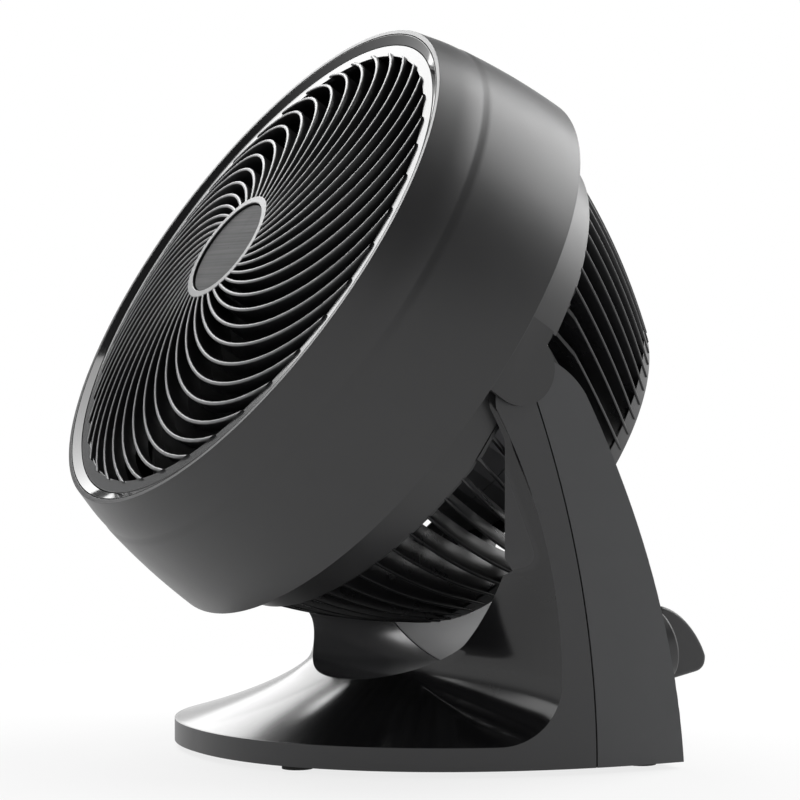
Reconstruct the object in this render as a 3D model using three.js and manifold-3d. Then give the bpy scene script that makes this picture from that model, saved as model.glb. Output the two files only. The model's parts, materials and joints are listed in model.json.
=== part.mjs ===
// Air circulator fan on a U-shaped tilting stand.
// Millimetres, +Z up, the air blows towards -Y. The origin is the centre of the footprint box on the floor.
// The head is drawn level in its own frame: its axis is the frame's Y axis, and `forward` below is a
// distance in front of the tilt pivot, which lies on that axis. The head's group then tilts about X.

import * as THREE from 'three';
import { mergeVertices } from 'three/addons/utils/BufferGeometryUtils.js';
import Module from 'manifold-3d';

const wasm = await Module();
wasm.setup();

// ---------------------------------------------------------------- driving dimensions

const CLEARANCE = 0.35;            // fixed joint between two mouldings
const RUNNING_CLEARANCE = 0.7;     // beside anything that turns
const FACETS = 48;                 // round the large rings
const SIMPLIFY_TOLERANCE = 0.05;   // on surfaces after joins and cuts
const SMALL_FACETS = 20;           // round the motor and other small turned pieces

const TILT_DEG = 33.6;             // how far the head looks up as it stands

// head: shroud, bezel and neck
const RIM_FORWARD = 95.2;
const RIM_RADIUS = 142.2;
const SHROUD_REAR_FORWARD = 16;
const SHROUD_FLARE = 14.5;         // from the rim to the rear edge
const SHROUD_REAR_RADIUS = RIM_RADIUS + SHROUD_FLARE;
const SHROUD_SHOULDER_FORWARD = 78;
const SHOULDER_FLARE = 5.6;        // from the rim to the shoulder behind it
const SHROUD_SHOULDER_RADIUS = RIM_RADIUS + SHOULDER_FLARE;
const SHROUD_BULGE = 1.4;
const SHROUD_WALL = 2.4;
const BEZEL_WIDTH = 7.4;
const BEZEL_INNER_RADIUS = RIM_RADIUS - BEZEL_WIDTH;
const BEZEL_DROP = 2.45;
const BEZEL_WALL = 2;
const BEZEL_SKIRT = 6;
const NECK_STEP = 13.7;            // in from the shroud's rear edge
const NECK_FRONT_RADIUS = SHROUD_REAR_RADIUS - NECK_STEP;
const NECK_TAPER = 5;
const NECK_REAR_RADIUS = NECK_FRONT_RADIUS - NECK_TAPER;
const NECK_REAR_FORWARD = -8;
const NECK_WALL = 2.6;
const FLANGE_THICKNESS = 2.4;

// head: side pockets for the stand's arms, and the ears that cover the pivots
const POCKET_INSET = 10;
const HEAD_FLAT = NECK_REAR_RADIUS - POCKET_INSET; // half the width across the pockets
const POCKET_WALL = 2.5;
const POCKET_TOP = 24;
const POCKET_BOTTOM = -66;
const POCKET_FRONT_FORWARD = 14.4;
const EAR_RADIUS = 17.4;
const EAR_STANDOFF = 11.6;
const EAR_FACE = HEAD_FLAT + EAR_STANDOFF;
const EAR_THICKNESS = 2.4;
const EAR_NOTCH = 4.5;

// front grille
const GRILLE_DOME_HEIGHT = 14.6;   // above the rim's plane, on the axis
const GRILLE_RIBS = 40;
const GRILLE_PHASE_DEG = 8;
const GRILLE_MARGIN = 7.2;         // the flat annulus round the ribs
const GRILLE_OPEN_RADIUS = BEZEL_INNER_RADIUS - GRILLE_MARGIN;
const GRILLE_DOME_FALL = 15.65;    // from the axis to the annulus
const GRILLE_DOME_RADIUS = (GRILLE_OPEN_RADIUS ** 2 + GRILLE_DOME_FALL ** 2) / (2 * GRILLE_DOME_FALL);
const RIB_ARC_OFFSET = 65.2;       // each rib is an arc whose centre lies this far off the axis...
const RIB_ARC_REACH = 11;          // ...and which would run on this far past the annulus
const RIB_ARC_RADIUS = GRILLE_OPEN_RADIUS + RIB_ARC_REACH - RIB_ARC_OFFSET;
const RIB_THICKNESS = 1.9;
const RIB_DEPTH = 7;
const RIB_STEPS = 5;
const GRILLE_PLATE = 2.4;
const GRILLE_SKIRT = 2.2;
const GRILLE_SKIRT_DEPTH = 7.4;
const HUB_RADIUS = 30.4;
const HUB_RECESS_RADIUS = 26.4;
const HUB_RECESS_DEPTH = 3.6;
const HUB_FLOOR = 2.4;
const HUB_DISC_SUNK = 1.2;

// ring round the propeller
const DUCT_STEP = 10.1;            // in from the grille's opening
const DUCT_RADIUS = GRILLE_OPEN_RADIUS - DUCT_STEP;
const DUCT_WALL = 2;
const DUCT_LENGTH = 40;

// rear grille
const REAR_RIBS = 68;
const REAR_PHASE_DEG = 12.6;
const REAR_TWIST_DEG = -7;
const REAR_RIB_THICKNESS = 1.7;
const REAR_RIB_DEPTH = 10;
const REAR_START_FORWARD = -8.6;
const REAR_STEP = 1.7;             // in from the neck ring
const REAR_START_RADIUS = NECK_REAR_RADIUS - REAR_STEP;
const REAR_END_FORWARD = -90.3;
const REAR_TAPER = 38.7;
const REAR_END_RADIUS = REAR_START_RADIUS - REAR_TAPER;
const REAR_BULGE = 3.1;
const REAR_COLLAR_DEPTH = 6;
const REAR_COLLAR_WALL = 4;
const REAR_COLLAR_LAP = 2;         // how far the collar runs under the fins' ends
const REAR_BAR = 4;                // thickness of the straight bars beside the pockets
const REAR_RIM_LENGTH = 10;
const REAR_RIM_SUNK = 0.8;
const REAR_RIM_WALL = 2.6;
const REAR_SPOKES = 17;
const FIN_STEPS = 2;
const REAR_PLATE = 2.8;
const REAR_PLATE_EDGE = 8;
const MOTOR_PLATE_RADIUS = 50;

// motor, shaft and propeller
const MOTOR_RADIUS = 46;
const MOTOR_BELL_LENGTH = 22;
const STATOR_LENGTH = 26;
const STATOR_BORE = 24;
const ROTOR_CLEARANCE = 0.8;
const BELL_WALL = 3;
const BEARING_RADIUS = 9;
const BEARING_LENGTH = 8;
const SHAFT_RADIUS = 4;
const WINDING_LENGTH = 9;
const WINDING_WALL = 9;
const CAP_RADIUS = 44;
const CAP_HEIGHT = 5;
const BLADES = 4;
const PROPELLER_TIP_GAP = 5.5;
const PROPELLER_RADIUS = DUCT_RADIUS - PROPELLER_TIP_GAP;
const PROPELLER_HUB_RADIUS = 30;
const PROPELLER_HUB_LENGTH = 34;
const PROPELLER_GAP = 12;          // from the motor's front bell to the propeller's hub
const PROPELLER_HUB_WALL = 3;
const BLADE_ROOT_CHORD = 46;
const BLADE_TIP_CHORD = 74;
const BLADE_ROOT_PITCH_DEG = 42;
const BLADE_TIP_PITCH_DEG = 22;
const BLADE_SWEEP_DEG = 16;
const BLADE_THICKNESS = 2.6;
const BLADE_CAMBER = 0.07;
const NUT_RADIUS = 8;
const NUT_LENGTH = 7;

// stand
const FOOT_HEIGHT = 3;
const FOOT_RADIUS = 7.6;
const FOOT_FRONT_X = 56;
const FOOT_FRONT_SETBACK = 29.5;   // behind the toe
const FOOT_REAR_INSET = 22;
const FOOT_REAR_SETBACK = 11.4;    // in front of the rear corners
const ARM_INNER_X = HEAD_FLAT + RUNNING_CLEARANCE;
const ARM_THICKNESS = 7.7;         // at its top
const ARM_TOP_X = ARM_INNER_X + ARM_THICKNESS;
const STAND_SPREAD = 3.6;          // how much wider the stand is at its rim than at its arms' tops
const STAND_HALF_WIDTH = ARM_TOP_X + STAND_SPREAD;
const BOWL_GAP = 3.8;              // round the turning head
const BOWL_RADIUS = SHROUD_REAR_RADIUS + BOWL_GAP;
const BOWL_FLOOR = 33;             // from the table to the bowl's lowest point
const BOWL_FACETS = 48;
const PIVOT_HEIGHT = BOWL_FLOOR + BOWL_RADIUS;
const STAND_WIDEST_Y = 69.5;
const STAND_TOE_LENGTH = 177;      // from the widest place to the toe
const STAND_PLAN_POWER = 2.15;     // 2 would be an ellipse
const STAND_RIM_HEIGHT = 14.3;
const STAND_WALL = 2.8;
const STAND_PLATE = 2.4;
const REAR_CORNER_Y = 89.4;
const REAR_TOP_Y = 36;
const REAR_TOP_DROP = 12.5;        // below the pivot
const REAR_TOP_Z = PIVOT_HEIGHT - REAR_TOP_DROP;
const REAR_EDGE_BULGE = 10;
const BACK_BULGE = 6;
const ARM_TOP_RISE = 9.5;
const ARM_TOP_RADIUS = 12;
const CAVITY_TOP = 96;
const CREASE_Y = 23.4;             // where the crease stands upright
const CREASE_FILLET = 30;
const CREASE_ARC = 262;
const SWEEP_OVERRUN = 12;
const LIP_OVERRUN = 0.8;
const LIP_ARM_Y = -3.5;
const LIP_RIM_X = 56;              // on the lip, opposite the crease's lower corner...
const LIP_CORNER_X = 84;           // ...and opposite that corner's upper end
const LIP_ARM_Z = 103;
const LIP_BOW = 30;
const LIP_BOW_HALF_WIDTH = 88;
const SWEEP_HOLLOW = 2.5;          // how far the gloss sweep dips between crease and lip
const SEAM_Y = 41.3;
const SEAM_ARC = 500;
const SEAM_GAP = 0.8;
const PIN_RADIUS = 4;
const PIN_HEAD_RADIUS = 8;
const PIN_HEAD = 3;
const WASHER_THICKNESS = 2.4;
const WASHER_RADIUS = 10;

// speed knob on the back of the right arm
const KNOB_INSET = 26;
const KNOB_X = STAND_HALF_WIDTH - KNOB_INSET;
const KNOB_Z = 57;
const KNOB_RADIUS = 18.4;
const KNOB_SKIRT = 6.5;
const KNOB_LIFT = 1.5;
const KNOB_GRIP_THICKNESS = 13;
const KNOB_DEPTH = 29;
const KNOB_SHOULDER = 10;
const KNOB_TIP = 11.5;               // below the knob's axis
const KNOB_NOSE = 7;                 // the round at the grip's lower end
const KNOB_EDGE = 1;                 // the bevel along the grip
const KNOB_SHAFT_RADIUS = 3;
const BUSH_WALL = 3.15;
const SOCKET_DEPTH = 4;              // how far the shaft's socket runs into the grip
const SWITCH_SIDE = 26;
const SWITCH_DEPTH = 14;
const SWITCH_STANDOFF = 6;
const INLET_RADIUS = 7;
const INLET_FLANGE = 2;
const INLET_BORE_RADIUS = 3;
const INLET_LENGTH = 6;
const INLET_INSET = 44;
const INLET_X = INLET_INSET - STAND_HALF_WIDTH;
const INLET_Z = 22;

// ---------------------------------------------------------------- values worked out from them

const RAD = Math.PI / 180;
// The share of the quarter plan outline that the crease follows before it turns up.
const CREASE_RIM_SHARE = 1 - 2 / Math.PI * Math.asin(
  ((STAND_WIDEST_Y - CREASE_Y + CREASE_FILLET) / STAND_TOE_LENGTH) ** (STAND_PLAN_POWER / 2));
const TILT = TILT_DEG * RAD;
const FOOT_REAR_X = STAND_HALF_WIDTH - FOOT_REAR_INSET;
const FOOT_FRONT_Y = STAND_WIDEST_Y - STAND_TOE_LENGTH + FOOT_FRONT_SETBACK;
const FOOT_REAR_Y = REAR_CORNER_Y - FOOT_REAR_SETBACK;
const MOTOR_REAR = REAR_END_FORWARD + REAR_PLATE + CLEARANCE;
const MOTOR_FRONT = MOTOR_REAR + 2 * MOTOR_BELL_LENGTH + STATOR_LENGTH + 2 * CLEARANCE;
const STATOR_REAR = MOTOR_REAR + MOTOR_BELL_LENGTH + CLEARANCE;
const STATOR_FRONT = STATOR_REAR + STATOR_LENGTH;
const PROPELLER_MIDDLE = MOTOR_FRONT + PROPELLER_GAP + PROPELLER_HUB_LENGTH / 2;
const PROPELLER_NOSE = PROPELLER_MIDDLE + PROPELLER_HUB_LENGTH / 2;
const STAND_TOP = PIVOT_HEIGHT + ARM_TOP_RISE;
const BLACK_SATIN = { color: 0x3b3b3c, roughness: 0.5, metalness: 0 };
const BLACK_GLOSS = { color: 0x101011, roughness: 0.12, metalness: 0 };
const GREY_MOULD = { color: 0x6d6e70, roughness: 0.45, metalness: 0 };
const DARK_MOULD = { color: 0x2a2a2b, roughness: 0.6, metalness: 0 };
const STEEL = { color: 0xa8abae, roughness: 0.35, metalness: 1 };
const IRON = { color: 0x55585c, roughness: 0.55, metalness: 0.8 };
const COPPER = { color: 0xb0693a, roughness: 0.4, metalness: 0.9 };
const RUBBER = { color: 0x141414, roughness: 0.9, metalness: 0 };

// ---------------------------------------------------------------- shape helpers

// Joins coincident corners, drops empty triangles and turns the faces outward.
function tidy(geometry) {
  const bare = geometry.clone();
  bare.deleteAttribute('normal');
  bare.deleteAttribute('uv');
  const merged = mergeVertices(bare, 1e-4);
  const corner = merged.getAttribute('position');
  const index = merged.getIndex().array;
  const kept = [];
  let volume = 0;
  const [a, b, c] = [new THREE.Vector3(), new THREE.Vector3(), new THREE.Vector3()];
  for (let i = 0; i < index.length; i += 3) {
    const [p, q, r] = [index[i], index[i + 1], index[i + 2]];
    if (p === q || q === r || r === p) continue;
    kept.push(p, q, r);
    a.fromBufferAttribute(corner, p);
    b.fromBufferAttribute(corner, q);
    c.fromBufferAttribute(corner, r);
    volume += a.dot(b.cross(c));
  }
  if (volume < 0) kept.reverse();
  merged.setIndex(kept);
  return merged;
}

function solidOf(geometry) {
  const clean = tidy(geometry);
  return new wasm.Manifold(new wasm.Mesh({
    numProp: 3,
    vertProperties: Float32Array.from(clean.getAttribute('position').array),
    triVerts: Uint32Array.from(clean.getIndex().array),
  }));
}

function geometryOf(solid) {
  const mesh = solid.asOriginal().simplify(SIMPLIFY_TOLERANCE).getMesh();
  const geometry = new THREE.BufferGeometry();
  geometry.setAttribute('position', new THREE.BufferAttribute(Float32Array.from(mesh.vertProperties), 3));
  geometry.setIndex(Array.from(mesh.triVerts));
  return geometry;
}

function join(solids) {
  return solids.reduce((sum, next) => sum.add(next));
}

// A solid through a row of closed outlines that all have the same number of corners.
function loft(outlines) {
  const count = outlines[0].length;
  const corners = outlines.flat();
  const index = [];
  for (let row = 0; row + 1 < outlines.length; row++) {
    for (let i = 0; i < count; i++) {
      const [a, b] = [row * count + i, row * count + (i + 1) % count];
      index.push(a, b, b + count, a, b + count, a + count);
    }
  }
  const last = (outlines.length - 1) * count;
  for (let i = 1; i + 1 < count; i++) {
    index.push(0, i + 1, i, last, last + i, last + i + 1);
  }
  const geometry = new THREE.BufferGeometry().setFromPoints(corners);
  geometry.setIndex(index);
  return geometry;
}

// A turned ring about the head's axis. The profile is [radius, forward] corners and closes on itself.
function turned(profile, facets = FACETS) {
  const points = profile.map(([radius, forward]) => new THREE.Vector2(radius, -forward));
  points.push(points[0].clone());
  return new THREE.LatheGeometry(points, facets);
}

// A turned solid whose profile starts and ends on the axis.
function turnedSolid(profile, facets = SMALL_FACETS) {
  const first = [0, profile[0][1]];
  const last = [0, profile[profile.length - 1][1]];
  return turned([first, ...profile, last], facets);
}

function box(x0, x1, forward0, forward1, z0, z1) {
  const geometry = new THREE.BoxGeometry(x1 - x0, forward1 - forward0, z1 - z0);
  return geometry.translate((x0 + x1) / 2, -(forward0 + forward1) / 2, (z0 + z1) / 2);
}

// The height of a circular arc above its chord, at a share of the chord's length.
function bow(sagitta, share) {
  return 4 * sagitta * share * (1 - share);
}

function lerp(from, to, share) {
  return from + (to - from) * share;
}

// How far an arc that starts upright has swung away after `rise`.
function swing(radius, rise) {
  return radius - Math.sqrt(radius * radius - rise * rise);
}

function node(name, geometry, look) {
  const mesh = new THREE.Mesh(tidy(geometry), new THREE.MeshStandardMaterial(look));
  mesh.name = name;
  return mesh;
}

// ---------------------------------------------------------------- head: casing

function shroudRadius(forward) {
  if (forward > SHROUD_SHOULDER_FORWARD) {
    const share = (forward - SHROUD_SHOULDER_FORWARD) / (RIM_FORWARD - SHROUD_SHOULDER_FORWARD);
    return lerp(SHROUD_SHOULDER_RADIUS, RIM_RADIUS, share);
  }
  const share = (forward - SHROUD_REAR_FORWARD) / (SHROUD_SHOULDER_FORWARD - SHROUD_REAR_FORWARD);
  return lerp(SHROUD_REAR_RADIUS, SHROUD_SHOULDER_RADIUS, share) + bow(SHROUD_BULGE, share);
}

function shroud() {
  const outer = [];
  for (let i = 0; i <= 4; i++) {
    const forward = lerp(SHROUD_REAR_FORWARD, SHROUD_SHOULDER_FORWARD, i / 4);
    outer.push([shroudRadius(forward), forward]);
  }
  outer.push([RIM_RADIUS, RIM_FORWARD]);
  const inner = outer.slice(1).reverse().map(([radius, forward]) => [radius - SHROUD_WALL, forward]);
  const flangeFront = SHROUD_REAR_FORWARD + FLANGE_THICKNESS;
  const profile = [
    ...outer,
    ...inner,
    [SHROUD_REAR_RADIUS - SHROUD_WALL, flangeFront],
    [DUCT_RADIUS + DUCT_WALL + SHROUD_WALL, flangeFront],
    [DUCT_RADIUS + DUCT_WALL + SHROUD_WALL, SHROUD_REAR_FORWARD],
  ];
  return node('shroud', turned(profile), BLACK_SATIN);
}

// The ring inside the shroud that the propeller turns in.
function ductRing() {
  const rear = SHROUD_REAR_FORWARD + FLANGE_THICKNESS + CLEARANCE;
  const flangeRadius = SHROUD_REAR_RADIUS - 4 * SHROUD_WALL;
  const profile = [
    [DUCT_RADIUS, rear],
    [flangeRadius, rear],
    [flangeRadius, rear + DUCT_WALL],
    [DUCT_RADIUS + DUCT_WALL, rear + DUCT_WALL],
    [DUCT_RADIUS + DUCT_WALL, rear + DUCT_LENGTH],
    [DUCT_RADIUS, rear + DUCT_LENGTH],
  ];
  return node('duct_ring', turned(profile), DARK_MOULD);
}

function bezelRing() {
  const outer = RIM_RADIUS - SHROUD_WALL - CLEARANCE;
  const rear = RIM_FORWARD - BEZEL_SKIRT;
  const profile = [
    [outer, RIM_FORWARD],
    [BEZEL_INNER_RADIUS, RIM_FORWARD - BEZEL_DROP],
    [BEZEL_INNER_RADIUS, RIM_FORWARD - BEZEL_DROP - BEZEL_WALL],
    [outer - BEZEL_WALL, RIM_FORWARD - BEZEL_WALL],
    [outer - BEZEL_WALL, rear],
    [outer, rear],
  ];
  return node('bezel_ring', turned(profile), BLACK_GLOSS);
}

// The flat D-shaped tab that hides a pivot: round behind, running into the neck ring in front.
function earShape() {
  const front = SHROUD_REAR_FORWARD - CLEARANCE;
  const shape = new THREE.Shape();
  shape.moveTo(front, -EAR_RADIUS);
  shape.lineTo(front, POCKET_TOP);
  shape.lineTo(-EAR_NOTCH, POCKET_TOP);
  shape.lineTo(-EAR_NOTCH, EAR_RADIUS - EAR_NOTCH / 4);
  shape.absarc(0, 0, EAR_RADIUS, Math.acos(-EAR_NOTCH / EAR_RADIUS), 1.5 * Math.PI, false);
  return shape;
}

function earPlate(side) {
  const plate = new THREE.ExtrudeGeometry(earShape(), {
    depth: EAR_THICKNESS,
    bevelEnabled: false,
    curveSegments: 14,
  });
  // The shape's first axis points forward, its second one up, and it grows towards +X.
  const basis = new THREE.Matrix4().makeBasis(
    new THREE.Vector3(0, -1, 0),
    new THREE.Vector3(0, 0, 1),
    new THREE.Vector3(-1, 0, 0),
  );
  plate.applyMatrix4(basis);
  return plate.translate(side > 0 ? EAR_FACE : EAR_THICKNESS - EAR_FACE, 0, 0);
}

function neckRadius(forward) {
  const share = (forward - NECK_REAR_FORWARD) / (SHROUD_REAR_FORWARD - NECK_REAR_FORWARD);
  return lerp(NECK_REAR_RADIUS, NECK_FRONT_RADIUS, share);
}

function crossPin(radius, x0, x1) {
  const pin = new THREE.CylinderGeometry(radius, radius, x1 - x0, SMALL_FACETS);
  return pin.rotateZ(-Math.PI / 2).translate((x0 + x1) / 2, 0, 0);
}

function neckRing() {
  const front = SHROUD_REAR_FORWARD - CLEARANCE;
  const rear = NECK_REAR_FORWARD;
  const wide = 2 * NECK_FRONT_RADIUS;
  let ring = solidOf(turned([
    [neckRadius(rear), rear],
    [neckRadius(front), front],
    [neckRadius(front) - NECK_WALL, front],
    [neckRadius(rear) - NECK_WALL, rear],
  ]));
  // A solid disc of the ring's outline, from which the pockets' floors and end walls are cut.
  const disc = solidOf(turnedSolid([[neckRadius(rear), rear], [neckRadius(front), front]], FACETS));
  for (const side of [1, -1]) {
    const from = (inner, outer) => (side > 0 ? [inner, outer] : [-outer, -inner]);
    const wall = POCKET_WALL;
    const block = box(...from(HEAD_FLAT - wall, wide), rear - 1, front + 1,
      POCKET_BOTTOM - wall, POCKET_TOP + wall);
    const pocket = box(...from(HEAD_FLAT, wide), rear - 1, POCKET_FRONT_FORWARD,
      POCKET_BOTTOM, POCKET_TOP);
    ring = ring.add(disc.intersect(solidOf(block))).subtract(solidOf(pocket));
    ring = ring.add(solidOf(earPlate(side)));
    const hole = crossPin(PIN_RADIUS + CLEARANCE, ...from(HEAD_FLAT - 2 * wall, HEAD_FLAT + 1));
    ring = ring.subtract(solidOf(hole));
  }
  return node('neck_ring', geometryOf(ring), BLACK_SATIN);
}

// ---------------------------------------------------------------- head: front grille

function domeForward(radius) {
  return RIM_FORWARD + GRILLE_DOME_HEIGHT - swing(GRILLE_DOME_RADIUS, radius);
}

// The angle at which a rib's arc crosses a given radius.
function ribAngle(radius) {
  const r = RIB_ARC_RADIUS;
  const d = RIB_ARC_OFFSET;
  return Math.acos((radius * radius + d * d - r * r) / (2 * radius * d));
}

function frontRib(turn) {
  const start = HUB_RADIUS - RIB_THICKNESS;
  const end = GRILLE_OPEN_RADIUS + 1;
  const rows = [];
  for (let i = 0; i <= RIB_STEPS; i++) {
    const radius = lerp(start, end, i / RIB_STEPS);
    const step = 0.5;
    const angle = ribAngle(radius);
    const lean = Math.atan2(radius * (ribAngle(radius + step) - ribAngle(radius - step)), 2 * step);
    const face = domeForward(radius);
    const half = RIB_THICKNESS / 2 / Math.cos(lean);
    const spread = half / radius;
    const at = (offset, forward) => {
      const a = turn - angle + offset;
      return new THREE.Vector3(radius * Math.cos(a), -forward, radius * Math.sin(a));
    };
    const back = Math.min(face - RIB_DEPTH, RIM_FORWARD - BEZEL_DROP - GRILLE_PLATE);
    rows.push([at(spread, face), at(-spread, face), at(-spread, back), at(spread, back)]);
  }
  return loft(rows);
}

function frontGrille() {
  const plateFront = RIM_FORWARD - BEZEL_DROP;
  const edge = BEZEL_INNER_RADIUS - CLEARANCE;
  const annulus = turned([
    [edge, plateFront],
    [GRILLE_OPEN_RADIUS, plateFront],
    [GRILLE_OPEN_RADIUS, plateFront - GRILLE_PLATE],
    [edge - GRILLE_SKIRT, plateFront - GRILLE_PLATE],
    [edge - GRILLE_SKIRT, plateFront - GRILLE_SKIRT_DEPTH],
    [edge, plateFront - GRILLE_SKIRT_DEPTH],
  ]);
  const hubFace = domeForward(HUB_RADIUS);
  const hub = turnedSolid([
    [HUB_RECESS_RADIUS, hubFace - HUB_RECESS_DEPTH],
    [HUB_RECESS_RADIUS, hubFace],
    [HUB_RADIUS, hubFace],
    [HUB_RADIUS, hubFace - RIB_DEPTH],
    [HUB_RADIUS - HUB_FLOOR, hubFace - RIB_DEPTH],
    [HUB_RADIUS - HUB_FLOOR, hubFace - HUB_RECESS_DEPTH - HUB_FLOOR],
  ], SMALL_FACETS + 8);
  const ribs = [];
  for (let i = 0; i < GRILLE_RIBS; i++) {
    ribs.push(solidOf(frontRib((i / GRILLE_RIBS) * 2 * Math.PI + GRILLE_PHASE_DEG * RAD)));
  }
  return node('front_grille', geometryOf(join([solidOf(annulus), solidOf(hub), ...ribs])), GREY_MOULD);
}

function hubDisc() {
  const rear = domeForward(HUB_RADIUS) - HUB_RECESS_DEPTH + CLEARANCE;
  const front = domeForward(HUB_RADIUS) - HUB_DISC_SUNK;
  const edge = HUB_RECESS_RADIUS - CLEARANCE;
  const disc = turnedSolid([[edge, rear], [edge, front - 0.4], [edge - 0.6, front]], SMALL_FACETS + 8);
  return node('hub_disc', disc, DARK_MOULD);
}

// ---------------------------------------------------------------- head: rear grille

function rearRadius(forward) {
  const share = (REAR_START_FORWARD - forward) / (REAR_START_FORWARD - REAR_END_FORWARD);
  return lerp(REAR_START_RADIUS, REAR_END_RADIUS, share) + bow(REAR_BULGE, share);
}

// A twisted fin that runs down the basket and ends in a point on its rear rim.
function rearFin(start) {
  const rows = [];
  const end = REAR_END_FORWARD + REAR_RIM_WALL;
  for (let i = 0; i <= FIN_STEPS; i++) {
    const share = i / FIN_STEPS;
    const forward = lerp(REAR_START_FORWARD, end, share);
    const angle = start + REAR_TWIST_DEG * RAD * share;
    const radius = rearRadius(forward);
    const spread = (i === FIN_STEPS ? 0.3 : 1) * REAR_RIB_THICKNESS / 2 / radius;
    const at = (offset, r) => {
      return new THREE.Vector3(r * Math.cos(angle + offset), -forward, r * Math.sin(angle + offset));
    };
    const inner = radius - REAR_RIB_DEPTH;
    rows.push([at(spread, radius), at(-spread, radius), at(-spread, inner), at(spread, inner)]);
  }
  return loft(rows);
}

function rearGrille() {
  const collarFront = REAR_START_FORWARD + REAR_COLLAR_DEPTH;
  const collarOuter = neckRadius(REAR_START_FORWARD) - NECK_WALL - CLEARANCE;
  const collarRear = REAR_START_FORWARD - REAR_COLLAR_LAP;
  const collar = turned([
    [collarOuter, collarRear],
    [collarOuter, collarFront],
    [collarOuter - REAR_COLLAR_WALL, collarFront],
    [collarOuter - REAR_COLLAR_WALL, collarRear],
  ]);
  const rimFront = REAR_END_FORWARD + REAR_RIM_LENGTH;
  const rim = turned([
    [rearRadius(rimFront) - REAR_RIM_SUNK, rimFront],
    [rearRadius(REAR_END_FORWARD) - REAR_RIM_SUNK, REAR_END_FORWARD],
    [rearRadius(REAR_END_FORWARD) - REAR_PLATE_EDGE, REAR_END_FORWARD],
    [rearRadius(REAR_END_FORWARD) - REAR_PLATE_EDGE, REAR_END_FORWARD + REAR_PLATE],
    [rearRadius(REAR_END_FORWARD) - REAR_RIM_WALL - REAR_RIM_SUNK, REAR_END_FORWARD + REAR_PLATE],
    [rearRadius(rimFront) - REAR_RIM_WALL - REAR_RIM_SUNK, rimFront],
  ]);
  const plate = turnedSolid([
    [MOTOR_PLATE_RADIUS, REAR_END_FORWARD],
    [MOTOR_PLATE_RADIUS, REAR_END_FORWARD + REAR_PLATE],
  ], FACETS / 2);
  const half = HEAD_FLAT - CLEARANCE;
  const barInner = half - POCKET_WALL - REAR_BAR;
  const barTop = Math.sqrt(collarOuter * collarOuter - half * half);
  const barBottom = -barTop;
  const rightBar = box(barInner, half, collarRear, REAR_START_FORWARD, barBottom, barTop);
  const leftBar = box(-half, -barInner, collarRear, REAR_START_FORWARD, barBottom, barTop);
  const solids = [collar, rim, plate, rightBar, leftBar].map(solidOf);
  for (let i = 0; i < REAR_RIBS; i++) {
    solids.push(solidOf(rearFin((i / REAR_RIBS) * 2 * Math.PI + REAR_PHASE_DEG * RAD)));
  }
  const reach = REAR_END_RADIUS - REAR_PLATE_EDGE + 1;
  for (let i = 0; i < REAR_SPOKES; i++) {
    const spoke = box(MOTOR_PLATE_RADIUS - 1, reach, REAR_END_FORWARD, REAR_END_FORWARD + REAR_RIB_DEPTH,
      -REAR_RIB_THICKNESS / 2, REAR_RIB_THICKNESS / 2);
    solids.push(solidOf(spoke.rotateY((i / REAR_SPOKES) * 2 * Math.PI)));
  }
  // Beside the stand's arms the basket is cut flat, and its collar stops at the pockets' floors.
  const wide = 2 * REAR_START_RADIUS;
  const collarHalf = HEAD_FLAT - POCKET_WALL - CLEARANCE;
  const flats = join([
    box(-half, half, REAR_END_FORWARD - 1, REAR_START_FORWARD + 0.01, -wide, wide),
    box(-collarHalf, collarHalf, REAR_START_FORWARD, wide, -wide, wide),
    box(-wide, wide, REAR_START_FORWARD, wide, POCKET_TOP + POCKET_WALL + CLEARANCE, wide),
    box(-wide, wide, REAR_START_FORWARD, wide, -wide, POCKET_BOTTOM - POCKET_WALL - CLEARANCE),
  ].map(solidOf));
  const basket = join(solids).intersect(flats);
  return node('rear_grille', geometryOf(join(solids).intersect(flats)), DARK_MOULD);
}

function rearCap() {
  const front = REAR_END_FORWARD - CLEARANCE;
  const cap = turnedSolid([
    [CAP_RADIUS, front],
    [CAP_RADIUS, front - CAP_HEIGHT / 2],
    [CAP_RADIUS - CAP_HEIGHT / 2, front - CAP_HEIGHT],
  ], FACETS / 2);
  return node('rear_cap', cap, BLACK_SATIN);
}

// ---------------------------------------------------------------- head: motor

// A cup that carries a bearing in its floor. `open` is the mouth's place, `floor` the outside of the end.
function bell(name, open, floor) {
  const way = Math.sign(open - floor);
  const inside = floor + way * BELL_WALL;
  const seat = BEARING_RADIUS + CLEARANCE;
  const profile = [
    [MOTOR_RADIUS, open],
    [MOTOR_RADIUS - BELL_WALL, open],
    [MOTOR_RADIUS - BELL_WALL, inside],
    [seat + BELL_WALL, inside],
    [seat + BELL_WALL, floor + way * (BEARING_LENGTH + 1)],
    [seat, floor + way * (BEARING_LENGTH + 1)],
    [seat, floor + way],
    [SHAFT_RADIUS + RUNNING_CLEARANCE, floor + way],
    [SHAFT_RADIUS + RUNNING_CLEARANCE, floor],
    [MOTOR_RADIUS - BELL_WALL, floor],
    [MOTOR_RADIUS, inside],
  ];
  return node(name, turned(profile, SMALL_FACETS), IRON);
}

function ring(name, outer, inner, rear, front, look) {
  const profile = [[outer, rear], [outer, front], [inner, front], [inner, rear]];
  return node(name, turned(profile, SMALL_FACETS), look);
}

function bearing(name, floor, way) {
  const near = floor + way * (1 + CLEARANCE);
  const far = near + way * (BEARING_LENGTH - CLEARANCE);
  return ring(name, BEARING_RADIUS, SHAFT_RADIUS + CLEARANCE, Math.min(near, far), Math.max(near, far), STEEL);
}

function winding(name, seat, way) {
  const far = seat + way * WINDING_LENGTH;
  const outer = MOTOR_RADIUS - BELL_WALL - CLEARANCE - 1;
  return ring(name, outer, outer - WINDING_WALL, Math.min(seat, far), Math.max(seat, far), COPPER);
}

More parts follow.
